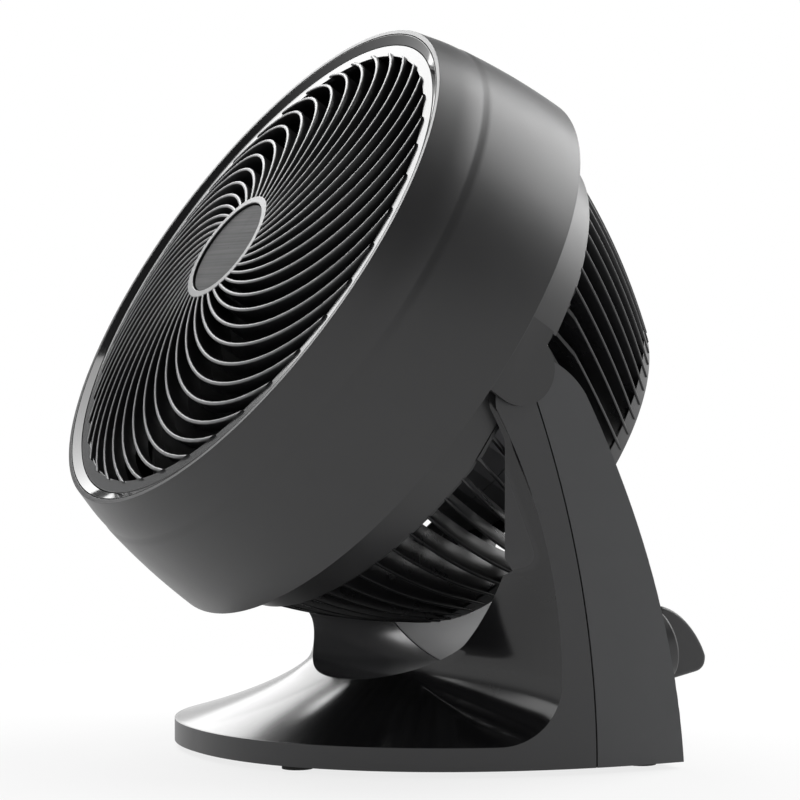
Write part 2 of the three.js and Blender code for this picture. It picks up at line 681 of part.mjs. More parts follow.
function motorShaft() {
  const front = PROPELLER_NOSE + NUT_LENGTH + 2;
  const shaft = turnedSolid([
    [SHAFT_RADIUS - 0.5, MOTOR_REAR + 1 + CLEARANCE],
    [SHAFT_RADIUS, MOTOR_REAR + 2],
    [SHAFT_RADIUS, front - 1],
    [SHAFT_RADIUS - 0.8, front],
  ]);
  return node('motor_shaft', shaft, STEEL);
}

// ---------------------------------------------------------------- head: propeller

// One blade: aerofoil sections at growing radii, each turned to its pitch and swept round the hub.
function blade(turn) {
  const rows = [];
  const root = PROPELLER_HUB_RADIUS - PROPELLER_HUB_WALL;
  for (let i = 0; i <= 6; i++) {
    const share = i / 6;
    const radius = lerp(root, PROPELLER_RADIUS, share);
    const pitch = lerp(BLADE_ROOT_PITCH_DEG, BLADE_TIP_PITCH_DEG, share) * RAD;
    const taper = share === 1 ? 0.72 : 1;
    const chord = taper * lerp(BLADE_ROOT_CHORD, BLADE_TIP_CHORD, Math.sin(share * Math.PI / 2));
    const sweep = turn + BLADE_SWEEP_DEG * RAD * share * share;
    const outline = [];
    const section = (along, side) => {
      const thickness = side * BLADE_THICKNESS * Math.sqrt(Math.sin(Math.PI * Math.min(0.96, along + 0.02)));
      const across = 4 * BLADE_CAMBER * chord * along * (1 - along) + thickness / 2;
      const x = (along - 0.5) * chord;
      const round = x * Math.cos(pitch) - across * Math.sin(pitch);
      const forward = PROPELLER_MIDDLE + x * Math.sin(pitch) + across * Math.cos(pitch);
      const angle = sweep + round / radius;
      outline.push(new THREE.Vector3(radius * Math.cos(angle), -forward, radius * Math.sin(angle)));
    };
    for (let k = 0; k <= 5; k++) section(k / 5, 1);
    for (let k = 5; k >= 0; k--) section(k / 5, -1);
    rows.push(outline);
  }
  return loft(rows);
}

function propeller() {
  const rear = PROPELLER_MIDDLE - PROPELLER_HUB_LENGTH / 2;
  const wall = PROPELLER_HUB_WALL;
  const bore = SHAFT_RADIUS + CLEARANCE;
  const hub = turned([
    [bore, rear + wall],
    [bore + wall, rear + wall],
    [bore + wall, PROPELLER_NOSE - wall],
    [PROPELLER_HUB_RADIUS - wall, PROPELLER_NOSE - wall],
    [PROPELLER_HUB_RADIUS - wall, rear],
    [PROPELLER_HUB_RADIUS, rear],
    [PROPELLER_HUB_RADIUS, PROPELLER_NOSE - wall],
    [PROPELLER_HUB_RADIUS - wall, PROPELLER_NOSE],
    [bore, PROPELLER_NOSE],
  ], SMALL_FACETS);
  // The blades' roots end in the hub's wall.
  const core = solidOf(turnedSolid([
    [PROPELLER_HUB_RADIUS - wall / 2, rear - PROPELLER_HUB_LENGTH],
    [PROPELLER_HUB_RADIUS - wall / 2, PROPELLER_NOSE + PROPELLER_HUB_LENGTH],
  ]));
  const blades = [];
  for (let i = 0; i < BLADES; i++) {
    blades.push(solidOf(blade((i / BLADES) * 2 * Math.PI)).subtract(core));
  }
  return node('propeller', geometryOf(join([solidOf(hub), ...blades])), DARK_MOULD);
}

function propellerNut() {
  const rear = PROPELLER_NOSE + CLEARANCE;
  const bore = SHAFT_RADIUS + CLEARANCE;
  const nut = turned([
    [NUT_RADIUS, rear],
    [NUT_RADIUS, rear + NUT_LENGTH],
    [bore, rear + NUT_LENGTH],
    [bore, rear],
  ], 6 * 4);
  return node('propeller_nut', nut, STEEL);
}

// ---------------------------------------------------------------- pivots

function pivotPin(name, side) {
  const from = (inner, outer) => (side > 0 ? [inner, outer] : [-outer, -inner]);
  const seat = HEAD_FLAT - POCKET_WALL - CLEARANCE;
  const end = EAR_FACE - EAR_THICKNESS - CLEARANCE;
  const head = solidOf(crossPin(PIN_HEAD_RADIUS, ...from(seat - PIN_HEAD, seat)));
  const shank = solidOf(crossPin(PIN_RADIUS, ...from(seat - PIN_HEAD / 2, end)));
  return node(name, geometryOf(head.add(shank)), STEEL);
}

function washerGeometry(side, grow) {
  const from = (inner, outer) => (side > 0 ? [inner, outer] : [-outer, -inner]);
  const inner = HEAD_FLAT + CLEARANCE;
  const radius = WASHER_RADIUS + grow;
  return crossPin(radius, ...from(inner - grow, inner + WASHER_THICKNESS + grow));
}

function frictionWasher(name, side) {
  const hole = crossPin(PIN_RADIUS + CLEARANCE, -STAND_HALF_WIDTH, STAND_HALF_WIDTH);
  return node(name, geometryOf(solidOf(washerGeometry(side, 0)).subtract(solidOf(hole))), RUBBER);
}

// ---------------------------------------------------------------- stand: form

// Half the stand's width at a given depth and height. It is widest at the floor and narrows to the arms' tops.
function standHalfWidth(y, z) {
  const away = Math.min(1, Math.abs(y - STAND_WIDEST_Y) / STAND_TOE_LENGTH);
  const plan = STAND_HALF_WIDTH * Math.pow(1 - Math.pow(away, STAND_PLAN_POWER), 1 / STAND_PLAN_POWER);
  const rise = (z - STAND_RIM_HEIGHT) / (STAND_TOP - STAND_RIM_HEIGHT);
  return lerp(plan, ARM_TOP_X, THREE.MathUtils.clamp(rise, 0, 1));
}

// The outline seen from above, grown inward by `inset`.
function standPlan(z, inset) {
  const right = [];
  const steps = 15;
  for (let i = 0; i <= steps; i++) {
    const turn = (1 - i / steps) * Math.PI / 2;
    const reach = Math.pow(Math.sin(turn), 2 / STAND_PLAN_POWER);
    const y = STAND_WIDEST_Y - STAND_TOE_LENGTH * reach;
    right.push([standHalfWidth(y, z) - inset, y + inset * reach]);
  }
  right.push([standHalfWidth(REAR_CORNER_Y, z) - inset, REAR_CORNER_Y]);
  right.push([standHalfWidth(REAR_CORNER_Y, z) - inset, REAR_CORNER_Y + 4 * BACK_BULGE]);
  const kept = right.filter(([x]) => x > 1);
  const left = kept.map(([x, y]) => [-x, y]).reverse();
  return [...kept, ...left].map(([x, y]) => new THREE.Vector3(x, y, z));
}

function standPrism(inset, bottom) {
  const heights = [bottom];
  for (let i = 0; i <= 5; i++) heights.push(lerp(STAND_RIM_HEIGHT, STAND_TOP + 1, i / 5));
  return solidOf(loft(heights.map((z) => standPlan(z, inset))));
}

// Everything in front of the stand's back and under its arms' rounded tops, as rows of side outlines.
function standSide(inset, bottom) {
  const rows = [];
  for (let i = 0; i <= 12; i++) {
    const x = lerp(-1.1, 1.1, i / 12);
    const bulge = BACK_BULGE * (1 - Math.min(1, x * x)) - inset;
    const side = [[-2 * STAND_TOE_LENGTH, bottom], [REAR_CORNER_Y + bulge, bottom]];
    for (let k = 1; k <= 9; k++) {
      const share = k / 9;
      side.push([lerp(REAR_CORNER_Y, REAR_TOP_Y, share) + bow(REAR_EDGE_BULGE, share) + bulge,
        lerp(FOOT_HEIGHT, REAR_TOP_Z, share)]);
    }
    const curl = new THREE.QuadraticBezierCurve(
      new THREE.Vector2(REAR_TOP_Y + bulge, REAR_TOP_Z),
      new THREE.Vector2(0.7 * REAR_TOP_Y + bulge, STAND_TOP - ARM_TOP_RISE / 2),
      new THREE.Vector2(0, STAND_TOP),
    );
    side.push(...curl.getPoints(5).slice(1).map((point) => [point.x, point.y]));
    for (let k = 1; k <= 5; k++) {
      const turn = (k / 5) * Math.PI / 2;
      side.push([-ARM_TOP_RADIUS * Math.sin(turn), STAND_TOP - ARM_TOP_RADIUS * (1 - Math.cos(turn))]);
    }
    side.push([-2 * STAND_TOE_LENGTH, STAND_TOP - ARM_TOP_RADIUS]);
    rows.push(side.map(([y, z]) => new THREE.Vector3(x * STAND_HALF_WIDTH, y, z)));
  }
  return solidOf(loft(rows));
}

// The crease between the gloss sweep and the outer side: along the rim, round a quarter, then up the arm.
function creaseAt(stage, share) {
  if (stage === 'rim') {
    const turn = (1 - share * CREASE_RIM_SHARE) * Math.PI / 2;
    const y = STAND_WIDEST_Y - STAND_TOE_LENGTH * Math.pow(Math.sin(turn), 2 / STAND_PLAN_POWER);
    return new THREE.Vector3(standHalfWidth(y, STAND_RIM_HEIGHT), y, STAND_RIM_HEIGHT);
  }
  const upright = STAND_RIM_HEIGHT + CREASE_FILLET;
  if (stage === 'corner') {
    const turn = share * Math.PI / 2;
    const y = CREASE_Y - CREASE_FILLET * (1 - Math.sin(turn));
    const z = upright - CREASE_FILLET * Math.cos(turn);
    return new THREE.Vector3(standHalfWidth(y, z), y, z);
  }
  const z = lerp(upright, STAND_TOP + SWEEP_OVERRUN, share);
  const y = Math.max(CREASE_Y - swing(CREASE_ARC, z - upright), -ARM_TOP_RADIUS);
  return new THREE.Vector3(standHalfWidth(y, z), y, z);
}

// The point on the edge of the bowl that faces a point of the crease.
function lipAt(crease, stage, share) {
  let x = LIP_RIM_X * crease.x / creaseAt('rim', 1).x;
  if (stage === 'corner') x = lerp(LIP_RIM_X, LIP_CORNER_X, share);
  if (stage === 'arm') {
    const rise = (crease.z - STAND_RIM_HEIGHT - CREASE_FILLET) / (LIP_ARM_Z - STAND_RIM_HEIGHT - CREASE_FILLET);
    x = Math.min(ARM_INNER_X, lerp(LIP_CORNER_X, ARM_INNER_X, rise));
  }
  const bowed = Math.max(0, 1 - (x / LIP_BOW_HALF_WIDTH) ** 2);
  const y = Math.min(LIP_ARM_Y - LIP_BOW * Math.pow(bowed, 1.5), Math.max(crease.y, -ARM_TOP_RADIUS));
  // The sweep runs on a little way past the bowl's facets.
  const drop = Math.sqrt((BOWL_RADIUS - LIP_OVERRUN) ** 2 - x * x - y * y);
  const z = x < ARM_INNER_X ? PIVOT_HEIGHT - drop : Math.max(crease.z, PIVOT_HEIGHT - drop);
  return new THREE.Vector3(x, y, z);
}

// What is cut away in front of the stand: the gloss sweep is its back face, and it meets in the bowl's middle.
function sweepCut(inset) {
  const stages = [];
  for (let i = 0; i < 10; i++) stages.push(['rim', i / 10]);
  for (let i = 0; i < 6; i++) stages.push(['corner', i / 6]);
  for (let i = 0; i <= 12; i++) stages.push(['arm', i / 12]);
  const far = -4 * STAND_TOE_LENGTH;
  const rowAt = ([stage, share]) => {
    const crease = creaseAt(stage, share);
    const lip = lipAt(crease, stage, share);
    const across = lip.clone().sub(crease);
    const middle = crease.clone().lerp(lip, 0.5);
    const lean = THREE.MathUtils.clamp(lip.x / ARM_INNER_X, 0, 1);
    const dip = new THREE.Vector3(0, lean, lean - 1).multiplyScalar(2 * SWEEP_HOLLOW);
    const sweep = new THREE.QuadraticBezierCurve3(crease, middle.add(dip), lip);
    const points = [
      crease.clone().addScaledVector(across.clone().normalize(), -SWEEP_OVERRUN),
      ...sweep.getPoints(4),
      new THREE.Vector3(0, LIP_ARM_Y, STAND_TOP + SWEEP_OVERRUN),
    ];
    // The ramp's wall grows downward, and the arm's wall backward.
    const upright = { rim: 0, corner: share, arm: 1 }[stage];
    const shift = new THREE.Vector3(0, inset * (1 + upright), inset * (upright - 1));
    points.slice(0, -1).forEach((point) => point.add(shift));
    const front = points.map((point) => point.clone().setY(far)).reverse();
    return [...points, ...front];
  };
  const right = stages.map(rowAt);
  const mirrored = (row) => row.map((point) => new THREE.Vector3(-point.x, point.y, point.z));
  const left = right.slice(1).map(mirrored).reverse();
  return solidOf(loft([...left, ...right]));
}

function bowlCut(inset) {
  const ball = solidOf(new THREE.SphereGeometry(BOWL_RADIUS + inset, BOWL_FACETS, BOWL_FACETS / 2)
    .rotateX(Math.PI / 2).rotateY(Math.PI / 2).translate(0, 0, PIVOT_HEIGHT));
  const half = ARM_INNER_X + inset;
  const wide = 2 * BOWL_RADIUS;
  return ball.intersect(solidOf(box(-half, half, -wide, wide, -wide, 2 * wide)));
}

function standBody(inset, bottom) {
  return standPrism(inset, bottom).intersect(standSide(inset, bottom))
    .subtract(sweepCut(inset)).subtract(bowlCut(inset));
}

// What lies in front of the seam between the two shells, or a bit further back with a positive shift.
function frontOfSeam(shift) {
  const shape = new THREE.Shape();
  const far = -4 * STAND_TOE_LENGTH;
  shape.moveTo(far, -FOOT_HEIGHT);
  for (let i = 0; i <= 12; i++) {
    const z = lerp(-FOOT_HEIGHT, STAND_TOP + 4, i / 12);
    shape.lineTo(SEAM_Y - swing(SEAM_ARC, Math.max(0, z - FOOT_HEIGHT)) + shift, z);
  }
  shape.lineTo(far, STAND_TOP + 4);
  const wide = 3 * STAND_HALF_WIDTH;
  const slab = new THREE.ExtrudeGeometry(shape, { depth: wide, bevelEnabled: false });
  const basis = new THREE.Matrix4().makeBasis(
    new THREE.Vector3(0, 1, 0),
    new THREE.Vector3(0, 0, 1),
    new THREE.Vector3(1, 0, 0),
  );
  return solidOf(slab.applyMatrix4(basis).translate(-wide / 2, 0, 0));
}

// ---------------------------------------------------------------- stand: pieces

function standShells() {
  const wide = 2 * STAND_HALF_WIDTH;
  const hollow = standBody(STAND_WALL, -FOOT_HEIGHT)
    .intersect(solidOf(box(-wide, wide, -wide, wide, -FOOT_HEIGHT, CAVITY_TOP)));
  let body = standBody(0, FOOT_HEIGHT).subtract(hollow);
  for (const side of [1, -1]) {
    const sunk = washerGeometry(side, CLEARANCE).translate(0, 0, PIVOT_HEIGHT);
    const hole = crossPin(PIN_RADIUS + RUNNING_CLEARANCE, ARM_INNER_X - 1, ARM_TOP_X + 2)
      .scale(side, 1, 1).translate(0, 0, PIVOT_HEIGHT);
    body = body.subtract(solidOf(sunk)).subtract(solidOf(hole));
  }
  const frontShell = body.intersect(frontOfSeam(-SEAM_GAP / 2));
  let rearCover = body.subtract(frontOfSeam(SEAM_GAP / 2));
  rearCover = rearCover.subtract(placedSolid(knobHole(), knobFrame()));
  rearCover = rearCover.subtract(placedSolid(inletHole(), inletFrame()));
  return [
    node('base_front_shell', geometryOf(frontShell), BLACK_GLOSS),
    node('base_rear_cover', geometryOf(rearCover), GREY_MOULD),
  ];
}

function bottomPlate() {
  const inset = STAND_WALL + CLEARANCE;
  const bottom = FOOT_HEIGHT;
  const top = FOOT_HEIGHT + STAND_PLATE;
  const plate = solidOf(loft([bottom, top].map((z) => standPlan(z, inset))));
  const back = standSide(inset, 0);
  return node('base_bottom_plate', geometryOf(plate.intersect(back)), DARK_MOULD);
}

function foot(name, x, y) {
  const pad = turnedSolid([
    [FOOT_RADIUS, 0],
    [FOOT_RADIUS, FOOT_HEIGHT - 1 - CLEARANCE],
    [FOOT_RADIUS - 1, FOOT_HEIGHT - CLEARANCE],
  ]);
  const mesh = node(name, pad.rotateX(-Math.PI / 2), RUBBER);
  mesh.position.set(x, y, 0);
  return mesh;
}

// ---------------------------------------------------------------- stand: knob, switch and inlet

// A frame on the stand's back: its Y axis points straight out of the leaning wall.
function backFrame(x, z) {
  const share = (z - FOOT_HEIGHT) / (REAR_TOP_Z - FOOT_HEIGHT);
  const bulge = BACK_BULGE * (1 - (x / STAND_HALF_WIDTH) ** 2);
  const y = lerp(REAR_CORNER_Y, REAR_TOP_Y, share) + bow(REAR_EDGE_BULGE, share) + bulge;
  const slope = (REAR_TOP_Y - REAR_CORNER_Y + 4 * REAR_EDGE_BULGE * (1 - 2 * share))
    / (REAR_TOP_Z - FOOT_HEIGHT);
  const frame = new THREE.Group();
  frame.position.set(x, y, z);
  frame.rotation.x = -Math.atan(slope);
  return frame;
}

function knobFrame() {
  return backFrame(KNOB_X, KNOB_Z);
}

function inletFrame() {
  return backFrame(INLET_X, INLET_Z);
}

function placedSolid(geometry, frame) {
  frame.updateMatrix();
  return solidOf(geometry.clone().applyMatrix4(frame.matrix));
}

function rod(radius, inner, outer) {
  return new THREE.CylinderGeometry(radius, radius, outer - inner, SMALL_FACETS)
    .translate(0, (inner + outer) / 2, 0);
}

function knobHole() {
  return rod(KNOB_SHAFT_RADIUS + RUNNING_CLEARANCE, -4 * STAND_WALL, STAND_WALL);
}

function inletHole() {
  return rod(INLET_RADIUS - INLET_FLANGE + CLEARANCE, -4 * STAND_WALL, STAND_WALL);
}

// The knob's skirt with a wedge-shaped grip across it, deepest at its lower end.
function speedKnob() {
  const seat = KNOB_LIFT;
  const shoulder = seat + KNOB_SKIRT;
  const skirt = turned([
    [KNOB_SHAFT_RADIUS + CLEARANCE, seat],
    [KNOB_RADIUS, seat],
    [KNOB_RADIUS, shoulder - KNOB_EDGE],
    [KNOB_RADIUS - KNOB_EDGE, shoulder],
    [KNOB_SHAFT_RADIUS + CLEARANCE, shoulder],
  ], SMALL_FACETS + 8).rotateX(Math.PI);
  const shape = new THREE.Shape();
  const half = KNOB_RADIUS - CLEARANCE;
  const root = shoulder - KNOB_EDGE;
  shape.moveTo(root, -half);
  shape.lineTo(KNOB_DEPTH - KNOB_NOSE, -half);
  shape.quadraticCurveTo(KNOB_DEPTH - KNOB_EDGE, -half, KNOB_DEPTH, -KNOB_TIP);
  shape.bezierCurveTo(KNOB_DEPTH - KNOB_EDGE, -KNOB_TIP / 6, KNOB_DEPTH - KNOB_NOSE, half - KNOB_NOSE,
    KNOB_SHOULDER, half);
  shape.lineTo(root, half);
  const grip = new THREE.ExtrudeGeometry(shape, {
    depth: KNOB_GRIP_THICKNESS - 2 * KNOB_EDGE,
    bevelThickness: KNOB_EDGE,
    bevelSize: KNOB_EDGE,
    bevelOffset: -KNOB_EDGE,
    bevelSegments: 1,
    curveSegments: 5,
  });
  // The shape lies in the plane of the knob's axis and its upright.
  const basis = new THREE.Matrix4().makeBasis(
    new THREE.Vector3(0, 1, 0),
    new THREE.Vector3(0, 0, 1),
    new THREE.Vector3(1, 0, 0),
  );
  grip.applyMatrix4(basis).translate(KNOB_EDGE - KNOB_GRIP_THICKNESS / 2, 0, 0);
  const socket = rod(KNOB_SHAFT_RADIUS + CLEARANCE, seat - KNOB_EDGE, shoulder + SOCKET_DEPTH);
  const whole = solidOf(skirt).add(solidOf(grip)).subtract(solidOf(socket));
  return node('speed_knob', geometryOf(whole), BLACK_SATIN);
}

function switchShaft() {
  const inner = -STAND_WALL - SWITCH_STANDOFF + CLEARANCE;
  const outer = KNOB_LIFT + KNOB_SKIRT + SOCKET_DEPTH - CLEARANCE;
  return node('switch_shaft', rod(KNOB_SHAFT_RADIUS, inner, outer), STEEL);
}

function rotarySwitch() {
  const front = -STAND_WALL - SWITCH_STANDOFF;
  const body = new THREE.BoxGeometry(SWITCH_SIDE, SWITCH_DEPTH, SWITCH_SIDE);
  return node('rotary_switch', body.translate(0, front - SWITCH_DEPTH / 2, 0), DARK_MOULD);
}

function switchBush() {
  const bore = KNOB_SHAFT_RADIUS + CLEARANCE;
  const inner = -STAND_WALL - SWITCH_STANDOFF + CLEARANCE;
  const outer = -STAND_WALL - 2 * CLEARANCE;
  const bush = turned([
    [bore, inner],
    [bore + BUSH_WALL, inner],
    [bore + BUSH_WALL, outer],
    [bore, outer],
  ], SMALL_FACETS).rotateX(Math.PI);
  return node('switch_bush', bush, STEEL);
}

function cordInlet() {
  const neck = INLET_RADIUS - INLET_FLANGE;
  const inlet = turned([
    [INLET_BORE_RADIUS, -2 * STAND_WALL],
    [neck, -2 * STAND_WALL],
    [neck, CLEARANCE],
    [INLET_RADIUS, CLEARANCE],
    [INLET_RADIUS - INLET_FLANGE / 2, INLET_LENGTH],
    [INLET_BORE_RADIUS, INLET_LENGTH],
  ], SMALL_FACETS).rotateX(Math.PI);
  return node('cord_inlet', inlet, RUBBER);
}

// ---------------------------------------------------------------- assembly

const head = new THREE.Group();
head.position.z = PIVOT_HEIGHT;
head.rotation.x = -TILT;
head.add(
  shroud(),
  ductRing(),
  bezelRing(),
  neckRing(),
  frontGrille(),
  hubDisc(),
  rearGrille(),
  rearCap(),
  bell('motor_rear_bell', STATOR_REAR - CLEARANCE, MOTOR_REAR),
  bell('motor_front_bell', STATOR_FRONT + CLEARANCE, MOTOR_FRONT),
  ring('stator', MOTOR_RADIUS, STATOR_BORE, STATOR_REAR, STATOR_FRONT, IRON),
  winding('rear_winding', STATOR_REAR - CLEARANCE, -1),
  winding('front_winding', STATOR_FRONT + CLEARANCE, 1),
  bearing('rear_bearing', MOTOR_REAR, 1),
  bearing('front_bearing', MOTOR_FRONT, -1),
  ring('rotor', STATOR_BORE - ROTOR_CLEARANCE, SHAFT_RADIUS + CLEARANCE, STATOR_REAR, STATOR_FRONT, IRON),
  motorShaft(),
  propeller(),
  propellerNut(),
  pivotPin('right_pivot_pin', 1),
  pivotPin('left_pivot_pin', -1),
  frictionWasher('right_friction_washer', 1),
  frictionWasher('left_friction_washer', -1),
);

const knob = knobFrame();
knob.add(speedKnob(), switchShaft(), switchBush(), rotarySwitch());

const inlet = inletFrame();
inlet.add(cordInlet());

const product = new THREE.Group();
product.add(
  ...standShells(),
  bottomPlate(),
  foot('front_right_foot', FOOT_FRONT_X, FOOT_FRONT_Y),
  foot('front_left_foot', -FOOT_FRONT_X, FOOT_FRONT_Y),
  foot('rear_right_foot', FOOT_REAR_X, FOOT_REAR_Y),
  foot('rear_left_foot', -FOOT_REAR_X, FOOT_REAR_Y),
  knob,
  inlet,
  head,
);

// The origin lies under the middle of the box round the fan as it stands.
const bounds = new THREE.Box3().setFromObject(product, true);
product.position.y = -(bounds.min.y + bounds.max.y) / 2;

const fan = new THREE.Group();
fan.name = 'air_circulator_fan';
fan.add(product);

export default fan;
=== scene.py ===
"""Looks of the air circulator fan: fine meshes, finishes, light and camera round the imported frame.

Sizes are in millimetres here and turned into metres where a mesh is made. `forward` is a distance
along the head's axis in front of the tilt pivot, as it is in the part's source.
"""

import json
import math

import bmesh
import bpy
from mathutils import Matrix, Vector


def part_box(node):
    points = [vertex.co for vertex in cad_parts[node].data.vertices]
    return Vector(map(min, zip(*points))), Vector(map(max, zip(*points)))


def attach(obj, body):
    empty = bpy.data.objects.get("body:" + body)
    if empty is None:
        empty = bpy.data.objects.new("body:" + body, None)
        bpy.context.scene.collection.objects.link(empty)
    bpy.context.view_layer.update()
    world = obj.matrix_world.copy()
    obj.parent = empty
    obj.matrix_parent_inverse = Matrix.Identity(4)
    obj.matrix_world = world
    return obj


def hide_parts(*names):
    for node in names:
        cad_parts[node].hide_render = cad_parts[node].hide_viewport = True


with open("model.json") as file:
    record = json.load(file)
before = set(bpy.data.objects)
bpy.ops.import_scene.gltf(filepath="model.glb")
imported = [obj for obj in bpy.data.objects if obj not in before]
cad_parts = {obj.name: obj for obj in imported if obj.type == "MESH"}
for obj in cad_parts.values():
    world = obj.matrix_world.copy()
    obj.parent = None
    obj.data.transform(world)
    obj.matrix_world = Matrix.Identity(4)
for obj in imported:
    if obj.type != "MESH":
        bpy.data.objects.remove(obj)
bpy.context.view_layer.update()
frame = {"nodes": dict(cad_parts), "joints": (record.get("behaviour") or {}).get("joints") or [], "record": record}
MM = 0.001
TURN = 2 * math.pi
CLEARANCE = 0.35

TILT_JOINT = next(j for j in frame["joints"] if j["name"] == "head_tilt")
KNOB_JOINT = next(j for j in frame["joints"] if j["name"] == "speed_knob_turn")
PIVOT = Vector(TILT_JOINT["pos_m"])
PIVOT_HEIGHT = PIVOT.z / MM
TILT = math.radians(33.6)
HEAD = Matrix.Translation(PIVOT) @ Matrix.Rotation(-TILT, 4, "X") @ Matrix.Scale(MM, 4)
STAND = Matrix.Translation((0, PIVOT.y, 0)) @ Matrix.Scale(MM, 4)


# ------------------------------------------------------------------ mesh helpers

def lerp(a, b, share):
    return a + (b - a) * share


def bow(sagitta, share):
    return 4 * sagitta * share * (1 - share)


def bend(a, b, c, t):
    """A point of the quadratic curve from a to c that b pulls on."""
    return tuple((1 - t) ** 2 * p + 2 * t * (1 - t) * q + t * t * r for p, q, r in zip(a, b, c))


def swing(radius, rise):
    return radius - math.sqrt(radius * radius - rise * rise)


def made(name, verts, faces, place):
    """A closed mesh object from points in millimetres, placed by a matrix, with its faces outward."""
    mesh = bpy.data.meshes.new(name)
    mesh.from_pydata([place @ Vector(v) for v in verts], [], faces)
    bm = bmesh.new()
    bm.from_mesh(mesh)
    bmesh.ops.remove_doubles(bm, verts=bm.verts, dist=1e-6)
    bmesh.ops.dissolve_degenerate(bm, edges=bm.edges, dist=1e-7)
    bmesh.ops.recalc_face_normals(bm, faces=bm.faces)
    bm.to_mesh(mesh)
    bm.free()
    obj = bpy.data.objects.new(name, mesh)
    bpy.context.scene.collection.objects.link(obj)
    return obj


def loft_data(rows, start=0):
    count = len(rows[0])
    verts = [v for row in rows for v in row]
    faces = []
    for r in range(len(rows) - 1):
        for i in range(count):
            a, b = start + r * count + i, start + r * count + (i + 1) % count
            faces.append((a, b, b + count, a + count))
    last = start + (len(rows) - 1) * count
    faces.append(tuple(start + i for i in reversed(range(count))))
    faces.append(tuple(last + i for i in range(count)))
    return verts, faces


def lofts(name, row_sets, place):
    verts, faces = [], []
    for rows in row_sets:
        v, f = loft_data(rows, len(verts))
        verts += v
        faces += f
    return made(name, verts, faces, place)


def turned_data(profile, facets, start=0):
    """A ring from [radius, forward] corners that close on themselves; radius 0 closes on the axis."""
    verts, faces = [], []
    for k in range(facets):
        a = TURN * k / facets
        verts += [(r * math.cos(a), -w, r * math.sin(a)) for r, w in profile]
    n = len(profile)
    for k in range(facets):
        p, q = start + k * n, start + (k + 1) % facets * n
        for i in range(n):
            j = (i + 1) % n
            faces.append((p + i, p + j, q + j, q + i))
    return verts, faces


def turned(name, profile, place, facets=192):
    verts, faces = turned_data(profile, facets)
    return made(name, verts, faces, place)


def block(name, x0, x1, w0, w1, z0, z1, place):
    rows = [[(x, -w0, z0), (x, -w1, z0), (x, -w1, z1), (x, -w0, z1)] for x in (x0, x1)]
    return lofts(name, [rows], place)


def cut(obj, tool, operation):
    """Joins or cuts with a throw-away tool."""
    step = obj.modifiers.new("cut", "BOOLEAN")
    step.object = tool
    step.operation = operation
    step.solver = "MANIFOLD"
    apply_modifiers(obj)
    bpy.data.objects.remove(tool)


def apply_modifiers(obj):
    graph = bpy.context.evaluated_depsgraph_get()
    graph.update()
    mesh = bpy.data.meshes.new_from_object(obj.evaluated_get(graph))
    obj.modifiers.clear()
    obj.data = mesh


def finish_edges(obj, width=0.35, angle=35, segments=2):
    """Small rounded edges, then smooth shading between real creases only."""
    if width:
        edge = obj.modifiers.new("edges", "BEVEL")
        edge.width = width * MM
        edge.segments = segments
        edge.limit_method = "ANGLE"
        edge.angle_limit = math.radians(angle)
        edge.harden_normals = True
    obj.data.shade_smooth()
    obj.data.set_sharp_from_angle(angle=math.radians(angle))


def dress(obj, body, material, slot, *replaced):
    obj.data.materials.clear()
    obj.data.materials.append(material)
    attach(obj, body)
    if replaced:
        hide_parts(*replaced)
    return obj


# ------------------------------------------------------------------ finishes

def math_node(nodes, links, operation, *values):
    node = nodes.new("ShaderNodeMath")
    node.operation = operation
    for socket, value in zip(node.inputs, values):
        links.new(value, socket)
    return node.outputs["Value"]


def range_node(nodes, links, value, low, high, start=0, end=1):
    node = nodes.new("ShaderNodeMapRange")
    node.inputs["From Min"].default_value, node.inputs["From Max"].default_value = low, high
    node.inputs["To Min"].default_value, node.inputs["To Max"].default_value = start, end
    links.new(value, node.inputs["Value"])
    return node


def plastic(name, colour, roughness, grain=0.0, grain_size=0.35, mottling=0.04, specular=0.5, waves=0.0):
    """Moulded plastic: a fine spark-eroded grain, faint uneven gloss and, if polished, slight waves."""
    material = bpy.data.materials.new(name)
    material.use_nodes = True
    nodes, links = material.node_tree.nodes, material.node_tree.links
    shader = nodes["Principled BSDF"]
    shader.inputs["Specular IOR Level"].default_value = specular
    place = nodes.new("ShaderNodeTexCoord")
    tone = nodes.new("ShaderNodeTexNoise")
    tone.inputs["Scale"].default_value = 45
    tone.inputs["Detail"].default_value = 4
    links.new(place.outputs["Object"], tone.inputs["Vector"])
    shades = nodes.new("ShaderNodeValToRGB")
    shades.color_ramp.elements[0].position = 0.3
    shades.color_ramp.elements[1].position = 0.7
    shades.color_ramp.elements[0].color = [*[c * (1 - mottling) for c in colour], 1]
    shades.color_ramp.elements[1].color = [*[c * (1 + mottling) for c in colour], 1]
    links.new(tone.outputs["Fac"], shades.inputs["Fac"])
    links.new(shades.outputs["Color"], shader.inputs["Base Color"])
    gloss = nodes.new("ShaderNodeMapRange")
    gloss.inputs["To Min"].default_value = roughness * 0.9
    gloss.inputs["To Max"].default_value = roughness * 1.1
    links.new(tone.outputs["Fac"], gloss.inputs["Value"])
    links.new(gloss.outputs["Result"], shader.inputs["Roughness"])
    height = None
    if grain:
        pits = nodes.new("ShaderNodeTexNoise")
        pits.inputs["Scale"].default_value = 1000 / grain_size
        pits.inputs["Detail"].default_value = 2
        links.new(place.outputs["Object"], pits.inputs["Vector"])
        height = bump(nodes, links, pits.outputs["Fac"], grain, 0.05 * MM, None)
    if waves:
        swell = nodes.new("ShaderNodeTexNoise")
        swell.inputs["Scale"].default_value = 60
        links.new(place.outputs["Object"], swell.inputs["Vector"])
        height = bump(nodes, links, swell.outputs["Fac"], waves, 0.2 * MM, height)
    if height:
        links.new(height.outputs["Normal"], shader.inputs["Normal"])
    return material


